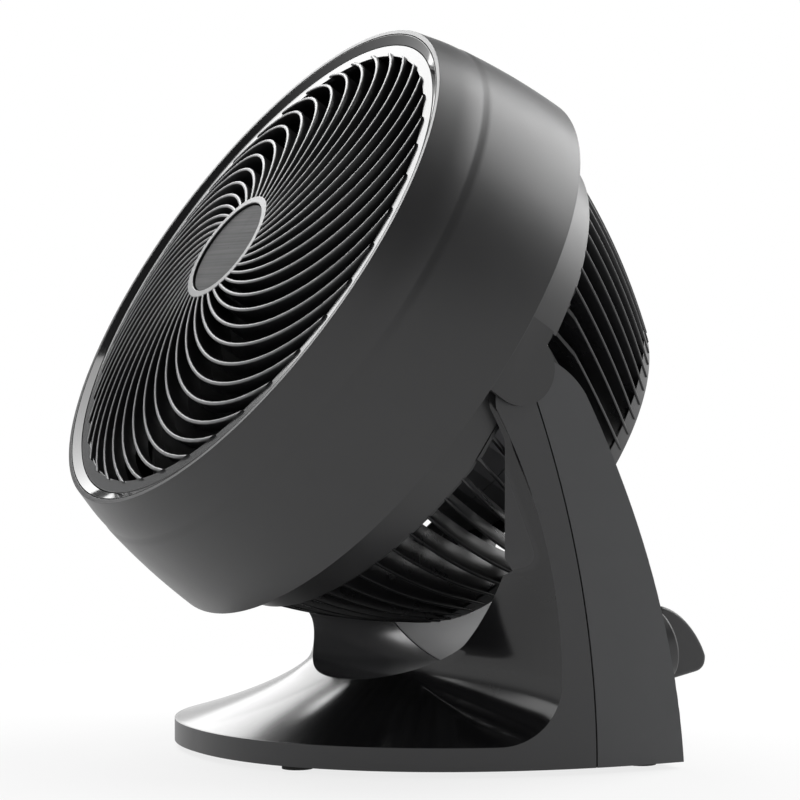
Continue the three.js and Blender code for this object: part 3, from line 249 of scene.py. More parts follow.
def bump(nodes, links, source, strength, distance, below):
    node = nodes.new("ShaderNodeBump")
    node.inputs["Strength"].default_value = strength
    node.inputs["Distance"].default_value = distance
    links.new(source, node.inputs["Height"])
    if below:
        links.new(below.outputs["Normal"], node.inputs["Normal"])
    return node


def metal(name, colour, roughness, streaks=120):
    """Turned or rolled metal with fine streaks."""
    material = plastic(name, colour, roughness, grain=0.15, grain_size=0.8, mottling=0.12)
    nodes, links = material.node_tree.nodes, material.node_tree.links
    nodes["Principled BSDF"].inputs["Metallic"].default_value = 1
    lines = nodes.new("ShaderNodeTexWave")
    lines.inputs["Scale"].default_value = streaks
    lines.inputs["Distortion"].default_value = 3
    step = bump(nodes, links, lines.outputs["Fac"], 0.08, 0.05 * MM, None)
    links.new(step.outputs["Normal"], nodes["Principled BSDF"].inputs["Normal"])
    return material


def streaked(name, colour):
    """The hub disc's satin face, with faint streaks across it."""
    material = plastic(name, colour, 0.6, grain=0.1, specular=0.2)
    nodes, links = material.node_tree.nodes, material.node_tree.links
    place = nodes.new("ShaderNodeTexCoord")
    stretch = nodes.new("ShaderNodeMapping")
    stretch.inputs["Scale"].default_value = (12, 900, 900)
    links.new(place.outputs["Object"], stretch.inputs["Vector"])
    lines = nodes.new("ShaderNodeTexNoise")
    lines.inputs["Scale"].default_value = 1
    lines.inputs["Detail"].default_value = 3
    links.new(stretch.outputs["Vector"], lines.inputs["Vector"])
    shades = nodes.new("ShaderNodeValToRGB")
    shades.color_ramp.elements[0].position = 0.35
    shades.color_ramp.elements[1].position = 0.7
    shades.color_ramp.elements[0].color = [*[c * 0.7 for c in colour], 1]
    shades.color_ramp.elements[1].color = [*[c * 1.35 for c in colour], 1]
    links.new(lines.outputs["Fac"], shades.inputs["Fac"])
    links.new(shades.outputs["Color"], nodes["Principled BSDF"].inputs["Base Color"])
    return material


def painted_highlight_faces(name, direction, low, high, face, side, roughness):
    """A painted highlight: light grey on the faces that look along a direction of the part, standing in for the
    reflection they catch, and dark plastic on the others.
    """
    material = plastic(name, face, roughness, grain=0.06)
    nodes, links = material.node_tree.nodes, material.node_tree.links
    shader = nodes["Principled BSDF"]
    place = nodes.new("ShaderNodeTexCoord")
    along = nodes.new("ShaderNodeVectorMath")
    along.operation = "DOT_PRODUCT"
    along.inputs[1].default_value = direction
    links.new(place.outputs["Normal"], along.inputs[0])
    share = range_node(nodes, links, along.outputs["Value"], low, high)
    # Painted highlight: faces that look along the direction get the light colour, and the sides keep the dark one.
    paint = nodes.new("ShaderNodeMix")
    paint.data_type = "RGBA"
    paint.inputs["A"].default_value = (*side, 1)
    links.new(shader.inputs["Base Color"].links[0].from_socket, paint.inputs["B"])
    links.new(share.outputs["Result"], paint.inputs["Factor"])
    links.new(paint.outputs["Result"], shader.inputs["Base Color"])
    return material


FACE_AXIS = (0, -math.cos(TILT), math.sin(TILT))
SATIN = plastic("satin_black", (0.035, 0.035, 0.036), 0.38, grain=0.22)
COVER = plastic("grey_moulding", (0.075, 0.076, 0.079), 0.42, grain=0.22)
GLOSS = plastic("gloss_black", (0.008, 0.008, 0.009), 0.07, mottling=0.0, waves=0.03)
# The grille's ribs and hub are dark plastic all over, and their light grey fronts are a painted highlight.
RIBS_PAINTED_HIGHLIGHT = painted_highlight_faces("rib_grey", FACE_AXIS, 0.45, 0.8, (0.2, 0.203, 0.208), (0.008, 0.008, 0.009), 0.3)
BASKET = plastic("basket_black", (0.012, 0.012, 0.013), 0.28, grain=0.08)
DARK = plastic("dark_moulding", (0.016, 0.016, 0.017), 0.5, grain=0.2)
BLADE = plastic("propeller_black", (0.012, 0.012, 0.013), 0.3, grain=0.08)
RUBBER = plastic("rubber", (0.012, 0.012, 0.012), 0.8, grain=0.4)
STEEL = metal("steel", (0.55, 0.56, 0.57), 0.3)
IRON = metal("iron", (0.12, 0.12, 0.125), 0.5)
COPPER = metal("copper", (0.5, 0.2, 0.07), 0.35)
DISC = streaked("disc_grey", (0.06, 0.06, 0.062))
FINISHES = {
    "satin_black": SATIN, "grey_moulding": COVER, "gloss_black": GLOSS, "rib_grey": RIBS_PAINTED_HIGHLIGHT,
    "basket_black": BASKET, "dark_moulding": DARK, "propeller_black": BLADE, "rubber": RUBBER,
    "steel": STEEL, "iron": IRON, "copper": COPPER, "disc_grey": DISC,
}


SIDE_TURN = (0.9, 0.96)               # how squarely a face looks sideways, from gloss to satin
RIM_BAND = (0.0146, 0.0138)           # metres above the floor, from gloss to satin
SATIN_SIDE_COLOUR = (0.045, 0.045, 0.047, 1)


def satin_sides(material, roughness):
    """The stand's outer sides and the band along its rim are satin, and the ramp and bowl stay glossy."""
    nodes, links = material.node_tree.nodes, material.node_tree.links
    shader = nodes["Principled BSDF"]
    place = nodes.new("ShaderNodeTexCoord")
    normal = nodes.new("ShaderNodeSeparateXYZ")
    links.new(place.outputs["Normal"], normal.inputs["Vector"])
    point = nodes.new("ShaderNodeSeparateXYZ")
    links.new(place.outputs["Object"], point.inputs["Vector"])
    across = math_node(nodes, links, "ABSOLUTE", normal.outputs["X"])
    side = range_node(nodes, links, across, *SIDE_TURN)
    rim = range_node(nodes, links, point.outputs["Z"], *RIM_BAND)
    either = math_node(nodes, links, "MAXIMUM", side.outputs["Result"], rim.outputs["Result"])
    gloss = nodes.new("ShaderNodeMix")
    gloss.inputs["B"].default_value = roughness
    links.new(either, gloss.inputs["Factor"])
    links.new(shader.inputs["Roughness"].links[0].from_socket, gloss.inputs["A"])
    links.new(gloss.outputs["Result"], shader.inputs["Roughness"])
    paint = nodes.new("ShaderNodeMix")
    paint.data_type = "RGBA"
    paint.inputs["B"].default_value = SATIN_SIDE_COLOUR
    links.new(either, paint.inputs["Factor"])
    links.new(shader.inputs["Base Color"].links[0].from_socket, paint.inputs["A"])
    links.new(paint.outputs["Result"], shader.inputs["Base Color"])


def dress_cad_nodes():
    """Every CAD node starts with its slot's finish. Finer meshes replace some of them below."""
    for part in frame["record"]["subparts"]:
        node = frame["nodes"][part["node"]]
        node.data.materials.clear()
        node.data.materials.append(FINISHES[part["material_slot"]])


dress_cad_nodes()


# ------------------------------------------------------------------ head: turned mouldings

RIM_FORWARD, RIM_RADIUS = 95.2, 142.2
SHROUD_REAR_FORWARD, SHROUD_REAR_RADIUS = 16, 156.7
SHOULDER_FORWARD, SHOULDER_RADIUS = 78, 147.8
SHOULDER_ROUND, SHOULDER_EASE = 6, 0.9
SHROUD_BULGE, SHROUD_WALL = 1.4, 2.4
BEZEL_INNER, BEZEL_DROP, BEZEL_WALL, BEZEL_SKIRT = 134.8, 2.45, 2, 6
NECK_FRONT, NECK_REAR, NECK_REAR_FORWARD, NECK_WALL = 143, 138, -8, 2.6
DUCT_RADIUS, DUCT_WALL = 117.5, 2


def shroud():
    outer = []
    for i in range(25):
        share = i / 24
        w = lerp(SHROUD_REAR_FORWARD, SHOULDER_FORWARD, share)
        outer.append((lerp(SHROUD_REAR_RADIUS, SHOULDER_RADIUS, share) + bow(SHROUD_BULGE, share), w))
    # The shoulder turns in over a short round before the straight run to the rim.
    before = outer.pop()
    ahead = (RIM_RADIUS, RIM_FORWARD)
    start = (before[0] + SHOULDER_EASE, before[1] - SHOULDER_ROUND)
    end = (lerp(before[0], ahead[0], 0.4), lerp(before[1], ahead[1], 0.4))
    for i in range(9):
        t = i / 8
        outer.append(bend(start, before, end, t))
    outer = [p for p in outer if p[1] <= SHOULDER_FORWARD - SHOULDER_ROUND or p in outer[-9:]]
    outer.append(ahead)
    inner = [(r - SHROUD_WALL, w) for r, w in reversed(outer[1:])]
    front = SHROUD_REAR_FORWARD + SHROUD_WALL
    flange = [(SHROUD_REAR_RADIUS - SHROUD_WALL, front), (DUCT_RADIUS + DUCT_WALL + SHROUD_WALL, front),
              (DUCT_RADIUS + DUCT_WALL + SHROUD_WALL, SHROUD_REAR_FORWARD)]
    inner = [p for p in inner if p[1] > front]
    obj = turned("shroud_fine", outer + inner + flange, HEAD, 256)
    finish_edges(obj, 0.5, 40)
    dress(obj, "head", SATIN, "satin_black", "shroud")


def bezel():
    outer = RIM_RADIUS - SHROUD_WALL - CLEARANCE
    profile = [
        (outer, RIM_FORWARD), (BEZEL_INNER, RIM_FORWARD - BEZEL_DROP),
        (BEZEL_INNER, RIM_FORWARD - BEZEL_DROP - BEZEL_WALL),
        (outer - BEZEL_WALL, RIM_FORWARD - BEZEL_WALL),
        (outer - BEZEL_WALL, RIM_FORWARD - BEZEL_SKIRT), (outer, RIM_FORWARD - BEZEL_SKIRT),
    ]
    obj = turned("bezel_fine", profile, HEAD, 256)
    finish_edges(obj, 0.3, 20)
    dress(obj, "head", GLOSS, "gloss_black", "bezel_ring")


# ------------------------------------------------------------------ head: front grille

DOME_HEIGHT, DOME_RADIUS = 14.6, 528
GRILLE_RIBS, GRILLE_PHASE = 40, math.radians(8)
ARC_RADIUS, ARC_OFFSET = 73.4, 65.2
RIB_THICKNESS, RIB_DEPTH, RIB_ROUND, RIB_DRAFT = 1.9, 7, 0.7, 0.75
ROUND_ANGLES = [math.pi * k / 6 for k in range(1, 6)]
OPEN_RADIUS, PLATE, SKIRT, SKIRT_DEPTH = 127.6, 2.4, 2.2, 7.4
HUB_RADIUS, RECESS_RADIUS, RECESS_DEPTH, HUB_FLOOR, DISC_SUNK = 30.4, 26.4, 3.6, 2.4, 1.2


def dome(radius):
    return RIM_FORWARD + DOME_HEIGHT - swing(DOME_RADIUS, radius)


def rib_angle(radius):
    d = ARC_OFFSET
    return math.acos((radius * radius + d * d - ARC_RADIUS * ARC_RADIUS) / (2 * radius * d))


def rib_rows(turn, steps=30):
    """A rib with a rounded face, swept along its arc from the hub to the outer annulus."""
    rows = []
    for i in range(steps + 1):
        radius = lerp(HUB_RADIUS - 1.5, OPEN_RADIUS + 1, i / steps)
        angle = rib_angle(radius)
        lean = math.atan2(radius * (rib_angle(radius + 0.5) - rib_angle(radius - 0.5)), 1)
        half = RIB_THICKNESS / 2 / math.cos(lean)
        face = dome(radius)
        back = min(face - RIB_DEPTH, RIM_FORWARD - BEZEL_DROP - PLATE)
        section = [(-RIB_DRAFT, back), (-1, face - RIB_ROUND)]
        section += [(-math.cos(a), face - RIB_ROUND + RIB_ROUND * math.sin(a)) for a in ROUND_ANGLES]
        section += [(1, face - RIB_ROUND), (RIB_DRAFT, back)]
        row = []
        for side, w in section:
            a = turn - angle + side * half / radius
            row.append((radius * math.cos(a), -w, radius * math.sin(a)))
        rows.append(row)
    return rows


def front_grille():
    front = RIM_FORWARD - BEZEL_DROP
    edge = BEZEL_INNER - CLEARANCE
    annulus = turned("grille_annulus", [
        (edge, front), (OPEN_RADIUS, front), (OPEN_RADIUS, front - PLATE), (edge - SKIRT, front - PLATE),
        (edge - SKIRT, front - SKIRT_DEPTH), (edge, front - SKIRT_DEPTH)], HEAD, 256)
    finish_edges(annulus, 0.35, 30)
    dress(annulus, "head", ANNULUS, "rib_grey", "front_grille")
    face = dome(HUB_RADIUS)
    hub = turned("grille_hub", [
        (0.01, face - RECESS_DEPTH), (RECESS_RADIUS, face - RECESS_DEPTH), (RECESS_RADIUS, face),
        (HUB_RADIUS, face), (HUB_RADIUS, face - RIB_DEPTH), (HUB_RADIUS - HUB_FLOOR, face - RIB_DEPTH),
        (HUB_RADIUS - HUB_FLOOR, face - RECESS_DEPTH - HUB_FLOOR), (0.01, face - RECESS_DEPTH - HUB_FLOOR)],
        HEAD, 128)
    finish_edges(hub, 0.6, 30, 3)
    dress(hub, "head", RIBS_PAINTED_HIGHLIGHT, "rib_grey")
    ribs = lofts("grille_ribs", [rib_rows(TURN * k / GRILLE_RIBS + GRILLE_PHASE)
                                 for k in range(GRILLE_RIBS)], HEAD)
    finish_edges(ribs, 0, 50)
    dress(ribs, "head", RIBS_PAINTED_HIGHLIGHT, "rib_grey")
    rear = face - RECESS_DEPTH + CLEARANCE
    rim = RECESS_RADIUS - CLEARANCE
    disc = turned("hub_disc_fine", [
        (0.01, rear), (rim, rear), (rim, face - DISC_SUNK), (0.01, face - DISC_SUNK)], HEAD, 128)
    finish_edges(disc, 0.5, 30, 3)
    dress(disc, "head", DISC, "disc_grey", "hub_disc")


# ------------------------------------------------------------------ head: rear grille

REAR_RIBS, REAR_PHASE, REAR_TWIST = 68, math.radians(12.6), math.radians(-7)
FIN_THICKNESS, FIN_DEPTH, FIN_ROUND, FIN_DRAFT = 1.7, 15, 0.6, 0.8
FIN_POINT_LENGTH, FIN_POINT_SHARE = 5, 0.15
START_FORWARD, START_RADIUS = -8.6, 136.3
END_FORWARD, END_RADIUS, REAR_BULGE = -90.3, 97.6, 3.1
COLLAR_DEPTH, COLLAR_WALL, COLLAR_LAP, BAR = 6, 4, 2, 4
REAR_RIM_LENGTH, REAR_RIM_SUNK, REAR_RIM_WALL = 10, 0.8, 2.6
SPOKES, SPOKE_DEPTH, REAR_PLATE, PLATE_EDGE, MOTOR_PLATE_RADIUS = 17, 10, 2.8, 8, 50
HEAD_FLAT, POCKET_WALL, POCKET_TOP, POCKET_BOTTOM, POCKET_FRONT = 128, 2.5, 24, -66, 14.4


def rear_radius(w):
    share = (START_FORWARD - w) / (START_FORWARD - END_FORWARD)
    return lerp(START_RADIUS, END_RADIUS, share) + bow(REAR_BULGE, share)


def neck_radius(w):
    share = (w - NECK_REAR_FORWARD) / (SHROUD_REAR_FORWARD - NECK_REAR_FORWARD)
    return lerp(NECK_REAR, NECK_FRONT, share)


def fin_rows(start, steps=14):
    rows = []
    end = END_FORWARD + REAR_RIM_WALL
    for i in range(steps + 1):
        share = i / steps
        w = lerp(START_FORWARD, end, share)
        angle = start + REAR_TWIST * share
        radius = rear_radius(w)
        point = min(1, max(FIN_POINT_SHARE, (w - end) / FIN_POINT_LENGTH))
        half = point * FIN_THICKNESS / 2 / radius
        inner = radius - FIN_DEPTH
        section = [(FIN_DRAFT, inner), (1, radius - FIN_ROUND)]
        section += [(math.cos(a), radius - FIN_ROUND + FIN_ROUND * math.sin(a)) for a in ROUND_ANGLES]
        section += [(-1, radius - FIN_ROUND), (-FIN_DRAFT, inner)]
        rows.append([(r * math.cos(angle + s * half), -w, r * math.sin(angle + s * half))
                     for s, r in section])
    return rows


def slice_off(bm, geometry, point, normal):
    """Cuts away what lies beyond a plane and closes the cut."""
    cut_edges = bmesh.ops.bisect_plane(bm, geom=geometry, plane_co=point, plane_no=normal, clear_outer=True)
    edges = [e for e in cut_edges["geom_cut"] if isinstance(e, bmesh.types.BMEdge)]
    if edges:
        bmesh.ops.holes_fill(bm, edges=edges)


def rear_fins():
    fins = lofts("rear_fins", [fin_rows(TURN * k / REAR_RIBS + REAR_PHASE) for k in range(REAR_RIBS)], HEAD)
    bm = bmesh.new()
    bm.from_mesh(fins.data)
    flat = (HEAD_FLAT - CLEARANCE) * MM
    for side in (1, -1):
        whole = bm.verts[:] + bm.edges[:] + bm.faces[:]
        slice_off(bm, whole, Vector((side * flat, 0, 0)), Vector((side, 0, 0)))
    bm.to_mesh(fins.data)
    bm.free()
    finish_edges(fins, 0, 50)
    return dress(fins, "head", BASKET, "basket_black", "rear_grille")


def rear_frame():
    """The collar, the rim, the straight bars beside the pockets, the motor plate and its spokes."""
    front = START_FORWARD + COLLAR_DEPTH
    outer = neck_radius(START_FORWARD) - NECK_WALL - CLEARANCE
    rear = START_FORWARD - COLLAR_LAP
    collar = turned("rear_collar", [(outer, rear), (outer, front), (outer - COLLAR_WALL, front),
                                    (outer - COLLAR_WALL, rear)], HEAD)
    flat = HEAD_FLAT - POCKET_WALL - CLEARANCE
    keep = block("keep", -flat, flat, -30, 10, -200, 200, HEAD)
    cut(collar, keep, "INTERSECT")
    finish_edges(collar, 0.3, 30)
    dress(collar, "head", BASKET, "basket_black")
    reach = math.sqrt(outer * outer - (HEAD_FLAT - CLEARANCE) ** 2)
    inner = HEAD_FLAT - CLEARANCE - POCKET_WALL - BAR
    for name, x0, x1 in (("right", inner, HEAD_FLAT - CLEARANCE), ("left", CLEARANCE - HEAD_FLAT, -inner)):
        bar = block(f"rear_bar_{name}", x0, x1, rear, START_FORWARD, -reach, reach, HEAD)
        finish_edges(bar, 0.3)
        dress(bar, "head", BASKET, "basket_black")
    rim_front = END_FORWARD + REAR_RIM_LENGTH
    band = [(rear_radius(w) - REAR_RIM_SUNK, w) for w in (lerp(rim_front, END_FORWARD, i / 6) for i in range(7))]
    plate_edge = rear_radius(END_FORWARD) - PLATE_EDGE
    wall = REAR_RIM_WALL + REAR_RIM_SUNK
    rim = turned("rear_rim", band + [
        (plate_edge, END_FORWARD), (plate_edge, END_FORWARD + REAR_PLATE),
        (rear_radius(END_FORWARD) - wall, END_FORWARD + REAR_PLATE),
        (rear_radius(rim_front) - wall, rim_front)], HEAD)
    finish_edges(rim, 0.5, 30)
    dress(rim, "head", BASKET, "basket_black")
    plate = turned("motor_plate", [
        (0.01, END_FORWARD), (MOTOR_PLATE_RADIUS, END_FORWARD),
        (MOTOR_PLATE_RADIUS, END_FORWARD + REAR_PLATE), (0.01, END_FORWARD + REAR_PLATE)], HEAD, 128)
    finish_edges(plate, 0.5, 30)
    dress(plate, "head", BASKET, "basket_black")
    for k in range(SPOKES):
        spoke = block(f"rear_spoke_{k + 1:02d}", MOTOR_PLATE_RADIUS - 1, plate_edge + 1, END_FORWARD,
                      END_FORWARD + SPOKE_DEPTH, -0.9, 0.9,
                      HEAD @ Matrix.Rotation(TURN * k / SPOKES, 4, "Y"))
        finish_edges(spoke, 0.4)
        dress(spoke, "head", BASKET, "basket_black")


# ------------------------------------------------------------------ head: neck ring and ears

EAR_RADIUS, EAR_FACE, EAR_THICKNESS, EAR_NOTCH = 17.4, 139.6, 2.4, 4.5


def ear_outline():
    front = SHROUD_REAR_FORWARD - CLEARANCE
    points = [(front, -EAR_RADIUS), (front, POCKET_TOP), (-EAR_NOTCH, POCKET_TOP),
              (-EAR_NOTCH, EAR_RADIUS - EAR_NOTCH / 4)]
    start = math.acos(-EAR_NOTCH / EAR_RADIUS)
    steps = 32
    points += [(EAR_RADIUS * math.cos(a), EAR_RADIUS * math.sin(a))
               for a in (lerp(start, 1.5 * math.pi, i / steps) for i in range(steps + 1))]
    return points


def neck_ring():
    front, rear, wall = SHROUD_REAR_FORWARD - CLEARANCE, NECK_REAR_FORWARD, POCKET_WALL
    ring = turned("neck_fine", [(neck_radius(rear), rear), (neck_radius(front), front),
                                (neck_radius(front) - NECK_WALL, front),
                                (neck_radius(rear) - NECK_WALL, rear)], HEAD, 256)
    for side in (1, -1):
        low, high = sorted((side * (HEAD_FLAT - wall), side * 300))
        floor = block("floor", low, high, rear - 1, front + 1, POCKET_BOTTOM - wall, POCKET_TOP + wall, HEAD)
        disc = turned("disc", [(0, rear), (neck_radius(rear), rear), (neck_radius(front), front), (0, front)],
                      HEAD, 256)
        cut(floor, disc, "INTERSECT")
        cut(ring, floor, "UNION")
        low, high = sorted((side * HEAD_FLAT, side * 300))
        pocket = block("pocket", low, high, rear - 1, POCKET_FRONT, POCKET_BOTTOM, POCKET_TOP, HEAD)
        cut(ring, pocket, "DIFFERENCE")
        low, high = sorted((side * (EAR_FACE - EAR_THICKNESS), side * EAR_FACE))
        plate = lofts("plate", [[[(x, -w, u) for w, u in ear_outline()] for x in (low, high)]], HEAD)
        cut(ring, plate, "UNION")
    finish_edges(ring, 0.4, 30)
    dress(ring, "head", SATIN, "satin_black", "neck_ring")


# ------------------------------------------------------------------ head: propeller and back

BLADES, BLADE_ROOT, BLADE_TIP = 4, 28.5, 112
ROOT_PITCH_DEG, TIP_PITCH_DEG, ROOT_CHORD, TIP_CHORD = 42, 22, 46, 74
BLADE_SWEEP, BLADE_THICKNESS, BLADE_CAMBER = math.radians(16), 2.6, 0.07
TIP_TAPER_START, TIP_TAPER = 0.85, 0.72
NUT_LENGTH, SHAFT_BORE = 7, 4.4
PROPELLER_RADIUS, PROPELLER_WALL, PROPELLER_LENGTH = 30, 3, 34


def blade_rows(turn, middle):
    """One blade, the same aerofoil sections as the part's, with more of them."""
    rows = []
    for i in range(19):
        share = i / 18
        radius = lerp(BLADE_ROOT, BLADE_TIP, share)
        pitch = math.radians(lerp(ROOT_PITCH_DEG, TIP_PITCH_DEG, share))
        chord = lerp(ROOT_CHORD, TIP_CHORD, math.sin(share * math.pi / 2))
        if share >= TIP_TAPER_START:
            chord *= lerp(1, TIP_TAPER, (share - TIP_TAPER_START) / (1 - TIP_TAPER_START))
        sweep = turn + BLADE_SWEEP * share * share
        row = []
        along = [k / 12 for k in range(13)]
        for side, order in ((1, along), (-1, along[::-1])):
            for s in order:
                thick = side * BLADE_THICKNESS * math.sqrt(math.sin(math.pi * min(0.96, s + 0.02)))
                across = bow(BLADE_CAMBER * chord, s) + thick / 2
                x = (s - 0.5) * chord
                w = middle + x * math.sin(pitch) + across * math.cos(pitch)
                a = sweep + (x * math.cos(pitch) - across * math.sin(pitch)) / radius
                row.append((radius * math.cos(a), -w, radius * math.sin(a)))
        rows.append(row)
    return rows


def propeller():
    low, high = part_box("propeller_nut")
    nut = HEAD.inverted() @ ((low + high) / 2)
    nose = -nut.y - NUT_LENGTH / 2 - CLEARANCE
    middle = nose - PROPELLER_LENGTH / 2
    back, cup = nose - PROPELLER_LENGTH, nose - PROPELLER_WALL
    inner = PROPELLER_RADIUS - PROPELLER_WALL
    blades = lofts("propeller_blades", [blade_rows(TURN * k / BLADES, middle) for k in range(BLADES)], HEAD)
    finish_edges(blades, 0, 50)
    dress(blades, "fan_wheel", BLADE, "propeller_black", "propeller")
    hub = turned("propeller_hub", [
        (SHAFT_BORE, cup), (inner, cup), (inner, back), (PROPELLER_RADIUS, back),
        (PROPELLER_RADIUS, nose - 4), (PROPELLER_RADIUS - 0.5, nose - 2),
        (PROPELLER_RADIUS - 2, nose - 0.5), (PROPELLER_RADIUS - 4, nose), (SHAFT_BORE, nose)], HEAD, 96)
    finish_edges(hub, 0.3, 40)
    dress(hub, "fan_wheel", BLADE, "propeller_black")


SCREW_FACETS, SCREW_RIM, SCREW_DOME = 40, 0.5, 1.1


def screw(name, place, radius, material, body):
    """A pan-head screw: a domed head with a cross recess. `place` puts its seat at the origin, axis +Z."""
    profile = [(0, 0), (radius, 0), (radius, SCREW_RIM)]
    profile += [(radius * math.cos(a), SCREW_RIM + SCREW_DOME * math.sin(a))
                for a in (math.pi / 2 * k / 6 for k in range(1, 7))]
    verts, faces = [], []
    for k in range(SCREW_FACETS):
        a = TURN * k / SCREW_FACETS
        verts += [(r * math.cos(a), r * math.sin(a), z) for r, z in profile]
    n = len(profile)
    for k in range(SCREW_FACETS):
        p, q = k * n, (k + 1) % SCREW_FACETS * n
        faces += [(p + i, p + (i + 1) % n, q + (i + 1) % n, q + i) for i in range(n)]
    head = made(name, verts, faces, place)
    for turn in (0, math.pi / 2):
        turned_place = place @ Matrix.Rotation(turn, 4, "Z")
        slot = lofts("slot", [[[(x, -0.45, 0.7), (x, 0.45, 0.7), (x, 0.45, 3), (x, -0.45, 3)]
                               for x in (-radius * 0.55, radius * 0.55)]], turned_place)
        cut(head, slot, "DIFFERENCE")
    finish_edges(head, 0, 40)
    return dress(head, body, material, "steel")


CAP_RADIUS, CAP_HEIGHT, CAP_GROOVE = 44, 5, 4.2
CAP_SCREWS, CAP_SCREW_CIRCLE, CAP_SCREW_RADIUS = 4, 20, 3.2


def back_cap():
    """The motor's rear cap: a shallow stepped dome with its screws."""
    front = END_FORWARD - CLEARANCE
    top, groove = front - CAP_HEIGHT, front - CAP_GROOVE
    profile = [(0, front), (CAP_RADIUS, front), (CAP_RADIUS, front - 2.2), (CAP_RADIUS - 1.6, groove),
               (38, top), (30, top), (29, groove), (12, groove), (11, top + 0.2), (0, top + 0.2)]
    cap = turned("rear_cap_fine", profile, HEAD, 160)
    finish_edges(cap, 0.3, 25)
    dress(cap, "head", SATIN, "satin_black", "rear_cap")
    outward = Matrix.Rotation(-math.pi / 2, 4, "X")
    for k in range(CAP_SCREWS):
        a = TURN * (k + 0.5) / CAP_SCREWS
        seat = Matrix.Translation((CAP_SCREW_CIRCLE * math.cos(a), -groove, CAP_SCREW_CIRCLE * math.sin(a)))
        screw(f"cap_screw_{k + 1}", HEAD @ seat @ outward, CAP_SCREW_RADIUS, STEEL, "head")


# ------------------------------------------------------------------ stand

HALF_WIDTH, WIDEST_Y, TOE_LENGTH, PLAN_POWER = 140, 69.5, 177, 2.15
RIM_HEIGHT, FOOT_HEIGHT, STAND_WALL = 14.3, 3, 2.8
CORNER_Y, REAR_TOP_Y, REAR_TOP_Z, REAR_EDGE_BULGE, BACK_BULGE = 89.4, 36, 181, 10, 6
ARM_TOP_X, ARM_TOP_RISE, ARM_TOP_RADIUS, CAVITY_TOP = 136.4, 9.5, 12, 96
STAND_TOP = PIVOT_HEIGHT + ARM_TOP_RISE
BOWL_RADIUS = 160.5
ARM_INNER_X = HEAD_FLAT + 0.7
CREASE_Y, CREASE_FILLET, CREASE_ARC, OVERRUN = 23.4, 30, 262, 12
LIP_ARM_Y, LIP_RIM_X, LIP_CORNER_X, LIP_ARM_Z, LIP_BOW, LIP_BOW_HALF = -3.5, 56, 84, 103, 30, 88
HOLLOW = 2.5
SEAM_Y, SEAM_ARC, SEAM_GAP = 41.3, 500, 0.8
RIM_SHARE = 1 - 2 / math.pi * math.asin(((WIDEST_Y - CREASE_Y + CREASE_FILLET) / TOE_LENGTH) ** (PLAN_POWER / 2))


def half_width(y, z):
    away = min(1, abs(y - WIDEST_Y) / TOE_LENGTH)
    plan = HALF_WIDTH * (1 - away ** PLAN_POWER) ** (1 / PLAN_POWER)
    rise = min(1, max(0, (z - RIM_HEIGHT) / (STAND_TOP - RIM_HEIGHT)))
    return lerp(plan, ARM_TOP_X, rise)


def plan_outline(z, inset, steps):
    right = []
    for i in range(steps + 1):
        reach = math.sin((1 - i / steps) * math.pi / 2) ** (2 / PLAN_POWER)
        y = WIDEST_Y - TOE_LENGTH * reach
        right.append((half_width(y, z) - inset, y + inset * reach, z))
    right.append((half_width(CORNER_Y, z) - inset, CORNER_Y, z))
    right.append((half_width(CORNER_Y, z) - inset, CORNER_Y + 4 * BACK_BULGE, z))
    right = [p for p in right if p[0] > 0.5]
    return right + [(-x, y, z) for x, y, z in reversed(right)]


def stand_prism(inset, bottom):
    heights = [bottom] + [lerp(RIM_HEIGHT, STAND_TOP + 1, k / 24) for k in range(25)]
    return lofts("prism", [[plan_outline(z, inset, 60) for z in heights]], STAND)


def stand_side(inset, bottom):
    rows = []
    for i in range(25):
        x = lerp(-1.1, 1.1, i / 24)
        bulge = BACK_BULGE * (1 - min(1, x * x)) - inset
        side = [(-2 * TOE_LENGTH, bottom), (CORNER_Y + bulge, bottom)]
        for k in range(1, 37):
            share = k / 36
            side.append((lerp(CORNER_Y, REAR_TOP_Y, share) + bow(REAR_EDGE_BULGE, share) + bulge,
                         lerp(FOOT_HEIGHT, REAR_TOP_Z, share)))
        p0, p1 = (REAR_TOP_Y + bulge, REAR_TOP_Z), (0.7 * REAR_TOP_Y + bulge, STAND_TOP - ARM_TOP_RISE / 2)
        p2 = (0, STAND_TOP)
        for k in range(1, 15):
            t = k / 14
            side.append(bend(p0, p1, p2, t))
        for k in range(1, 13):
            a = math.pi / 2 * k / 12
            side.append((-ARM_TOP_RADIUS * math.sin(a), STAND_TOP - ARM_TOP_RADIUS * (1 - math.cos(a))))
        side.append((-2 * TOE_LENGTH, STAND_TOP - ARM_TOP_RADIUS))
        rows.append([(x * HALF_WIDTH, y, z) for y, z in side])
    return lofts("side", [rows], STAND)


def crease_at(stage, share):
    upright = RIM_HEIGHT + CREASE_FILLET
    if stage == "rim":
        reach = math.sin((1 - share * RIM_SHARE) * math.pi / 2) ** (2 / PLAN_POWER)
        y, z = WIDEST_Y - TOE_LENGTH * reach, RIM_HEIGHT
    elif stage == "corner":
        turn = share * math.pi / 2
        y, z = CREASE_Y - CREASE_FILLET * (1 - math.sin(turn)), upright - CREASE_FILLET * math.cos(turn)
    else:
        z = lerp(upright, STAND_TOP + OVERRUN, share)
        y = max(CREASE_Y - swing(CREASE_ARC, z - upright), -ARM_TOP_RADIUS)
    return Vector((half_width(y, z), y, z))


